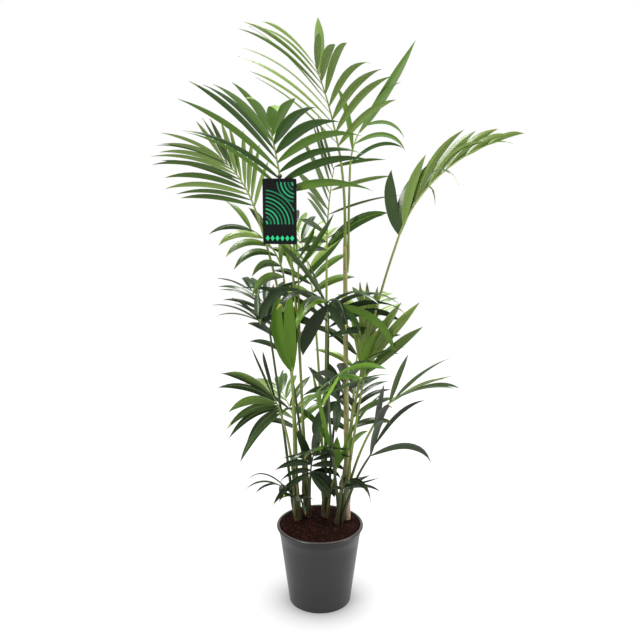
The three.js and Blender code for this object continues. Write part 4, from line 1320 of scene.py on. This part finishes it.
def card_place(x, depth, z):
    """A point of the hanging card: across, out towards the front, and up from its top edge."""
    out = rib_radius + GAP + RING_THICK + STAND_OFF
    return seat + swung(x, way_out[1] * out - depth, z + way_out[2] * out + STRAP_WIDE)


def inside_card(x, z):
    half = TAG_WIDTH / 2 - PRINT_MARGIN
    return abs(x) < half and -TAG_HEIGHT + PRINT_MARGIN < z < -PRINT_MARGIN


card_layers = [(CARD_ROUND, -TAG_THICK), (0.0, -TAG_THICK + CARD_ROUND)]
card_layers += [(0.0, -CARD_ROUND), (CARD_ROUND, 0.0)]
card_places, card_faces = [], []
for inset, depth in card_layers:
    card_places += [card_place(x, depth, z) for x, z in card_outline(inset)]
edge = len(card_outline(0))
for low in (0, edge, 2 * edge):
    card_faces += band(low, low + edge, edge)
card_faces += [tuple(reversed(range(edge))), tuple(range(3 * edge, 4 * edge))]
card = new_object("tag_card", mesh_named("tag_card", card_places, card_faces))

print_places, print_faces, print_kinds = [], [], []


def printed(corners, kind):
    """A flat printed patch on the card's front, its corners turning towards the front."""
    count = len(corners)
    front = len(print_places)
    back = front + count
    for depth in (PRINT_PROUD, -PRINT_SUNK):
        print_places.extend(card_place(x, depth, z) for x, z in corners)
    print_faces.append(tuple(range(front, back)))
    print_faces.append(tuple(reversed(range(back, back + count))))
    print_faces.extend(band(back, front, count))
    print_kinds.extend([kind] * (count + 2))


# Each corner's ripples: their centre, the angles that they run between and how many there are.
for centre_x, centre_z, first_angle, last_angle, count in (
    (-39.0, -104.0, 0, 90, 9),
    (39.0, -8.0, 180, 270, 5),
):
    for ripple in range(1, count + 1):
        inner = ripple * RIPPLE_STEP
        outer = inner + RIPPLE_BAND * (1 - 0.05 * ripple)
        angles = np.radians(np.linspace(first_angle, last_angle, 6 + 3 * ripple))
        for start, end in zip(angles, angles[1:]):
            corners = [
                (centre_x + size * cos(angle), centre_z + size * sin(angle))
                for size, angle in ((inner, start), (outer, start), (outer, end), (inner, end))
            ]
            if all(inside_card(x, z) for x, z in corners):
                printed(corners, ripple % 3)
lozenge_step = (TAG_WIDTH - 2 * PRINT_MARGIN) / LOZENGES
wide = lozenge_step * 0.42
level = -TAG_HEIGHT + PRINT_MARGIN + LOZENGE_RISE
for lozenge in range(LOZENGES):
    middle = -TAG_WIDTH / 2 + PRINT_MARGIN + (lozenge + 0.5) * lozenge_step
    diamond = [(0, -LOZENGE_TALL), (wide, 0), (0, LOZENGE_TALL), (-wide, 0)]
    printed([(middle + x, level + z) for x, z in diamond], LOZENGE_GREEN)
tag_print = new_object("tag_print", mesh_named("tag_print", print_places, print_faces))

card_gloss = finish_named("card_gloss", srgb(10, 13, 12), 0.24, {"Specular IOR Level": 0.28})
tree = card_gloss.node_tree
haze = noise(tree, object_place(tree), 60.0, 3.0)
gloss = ranged(tree, haze, low=0.16, high=0.34)
feed(shader(card_gloss), {"Roughness": gloss, "Normal": bumped(tree, haze, 0.1, 0.0006)})
card.data.materials.append(card_gloss)
for i, green in enumerate(PRINT_GREENS):
    ink = finish_named(f"print_green_{i + 1}", srgb(*green), 0.3)
    grain = noise(ink.node_tree, object_place(ink.node_tree), 2500.0, 1.0)
    feed(shader(ink), {"Normal": bumped(ink.node_tree, grain, 0.08, 0.0002)})
    tag_print.data.materials.append(ink)
tag_print.data.polygons.foreach_set("material_index", print_kinds)

# The strap: a band round the rib and a tongue from it to the card's top edge.
to_card = swung(*way_out)
beside = np.cross(to_card, rib_axis)
inner = rib_radius + GAP
outer = inner + RING_THICK
half = STRAP_WIDE / 2
strap_places, strap_faces = [], []
for turn in range(RING_TURNS):
    angle = 2 * pi * turn / RING_TURNS
    out = beside * cos(angle) + to_card * sin(angle)
    for size, rise in ((inner, -half), (outer, -half), (outer, half), (inner, half)):
        strap_places.append(seat + out * size + rib_axis * rise)
    strap_faces += band(4 * turn, 4 * ((turn + 1) % RING_TURNS), 4, turned_over=True)
first = len(strap_places)
for out in (inner + RING_THICK / 2, outer + STAND_OFF + TAG_THICK / 2):
    for x, z in ((-half, -half), (half, -half), (half, half), (-half, half)):
        strap_places.append(seat + to_card * out + beside * x + rib_axis * z)
strap_faces += band(first, first + 4, 4)
strap_faces += [tuple(range(first + 3, first - 1, -1)), tuple(range(first + 4, first + 8))]
strap = new_object("tag_strap", mesh_named("tag_strap", strap_places, strap_faces))
strap_rounded = strap.modifiers.new("rounded_edges", "BEVEL")
strap_rounded.width = CARD_ROUND * MM
strap_rounded.segments = 2
strap.data.materials.append(finish_named("strap_plastic", srgb(20, 24, 22), 0.35))
for piece in (card, tag_print, strap):
    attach(piece, "root")
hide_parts("hang_tag")

# ---- finish -------------------------------------------------------------------------------
# The solids' box and the dressed plant's box are gathered.
low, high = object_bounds()
boxes = {
    "cad": [list(cad_low), list(cad_high)],
    "visual": [list(low), list(high)],
}
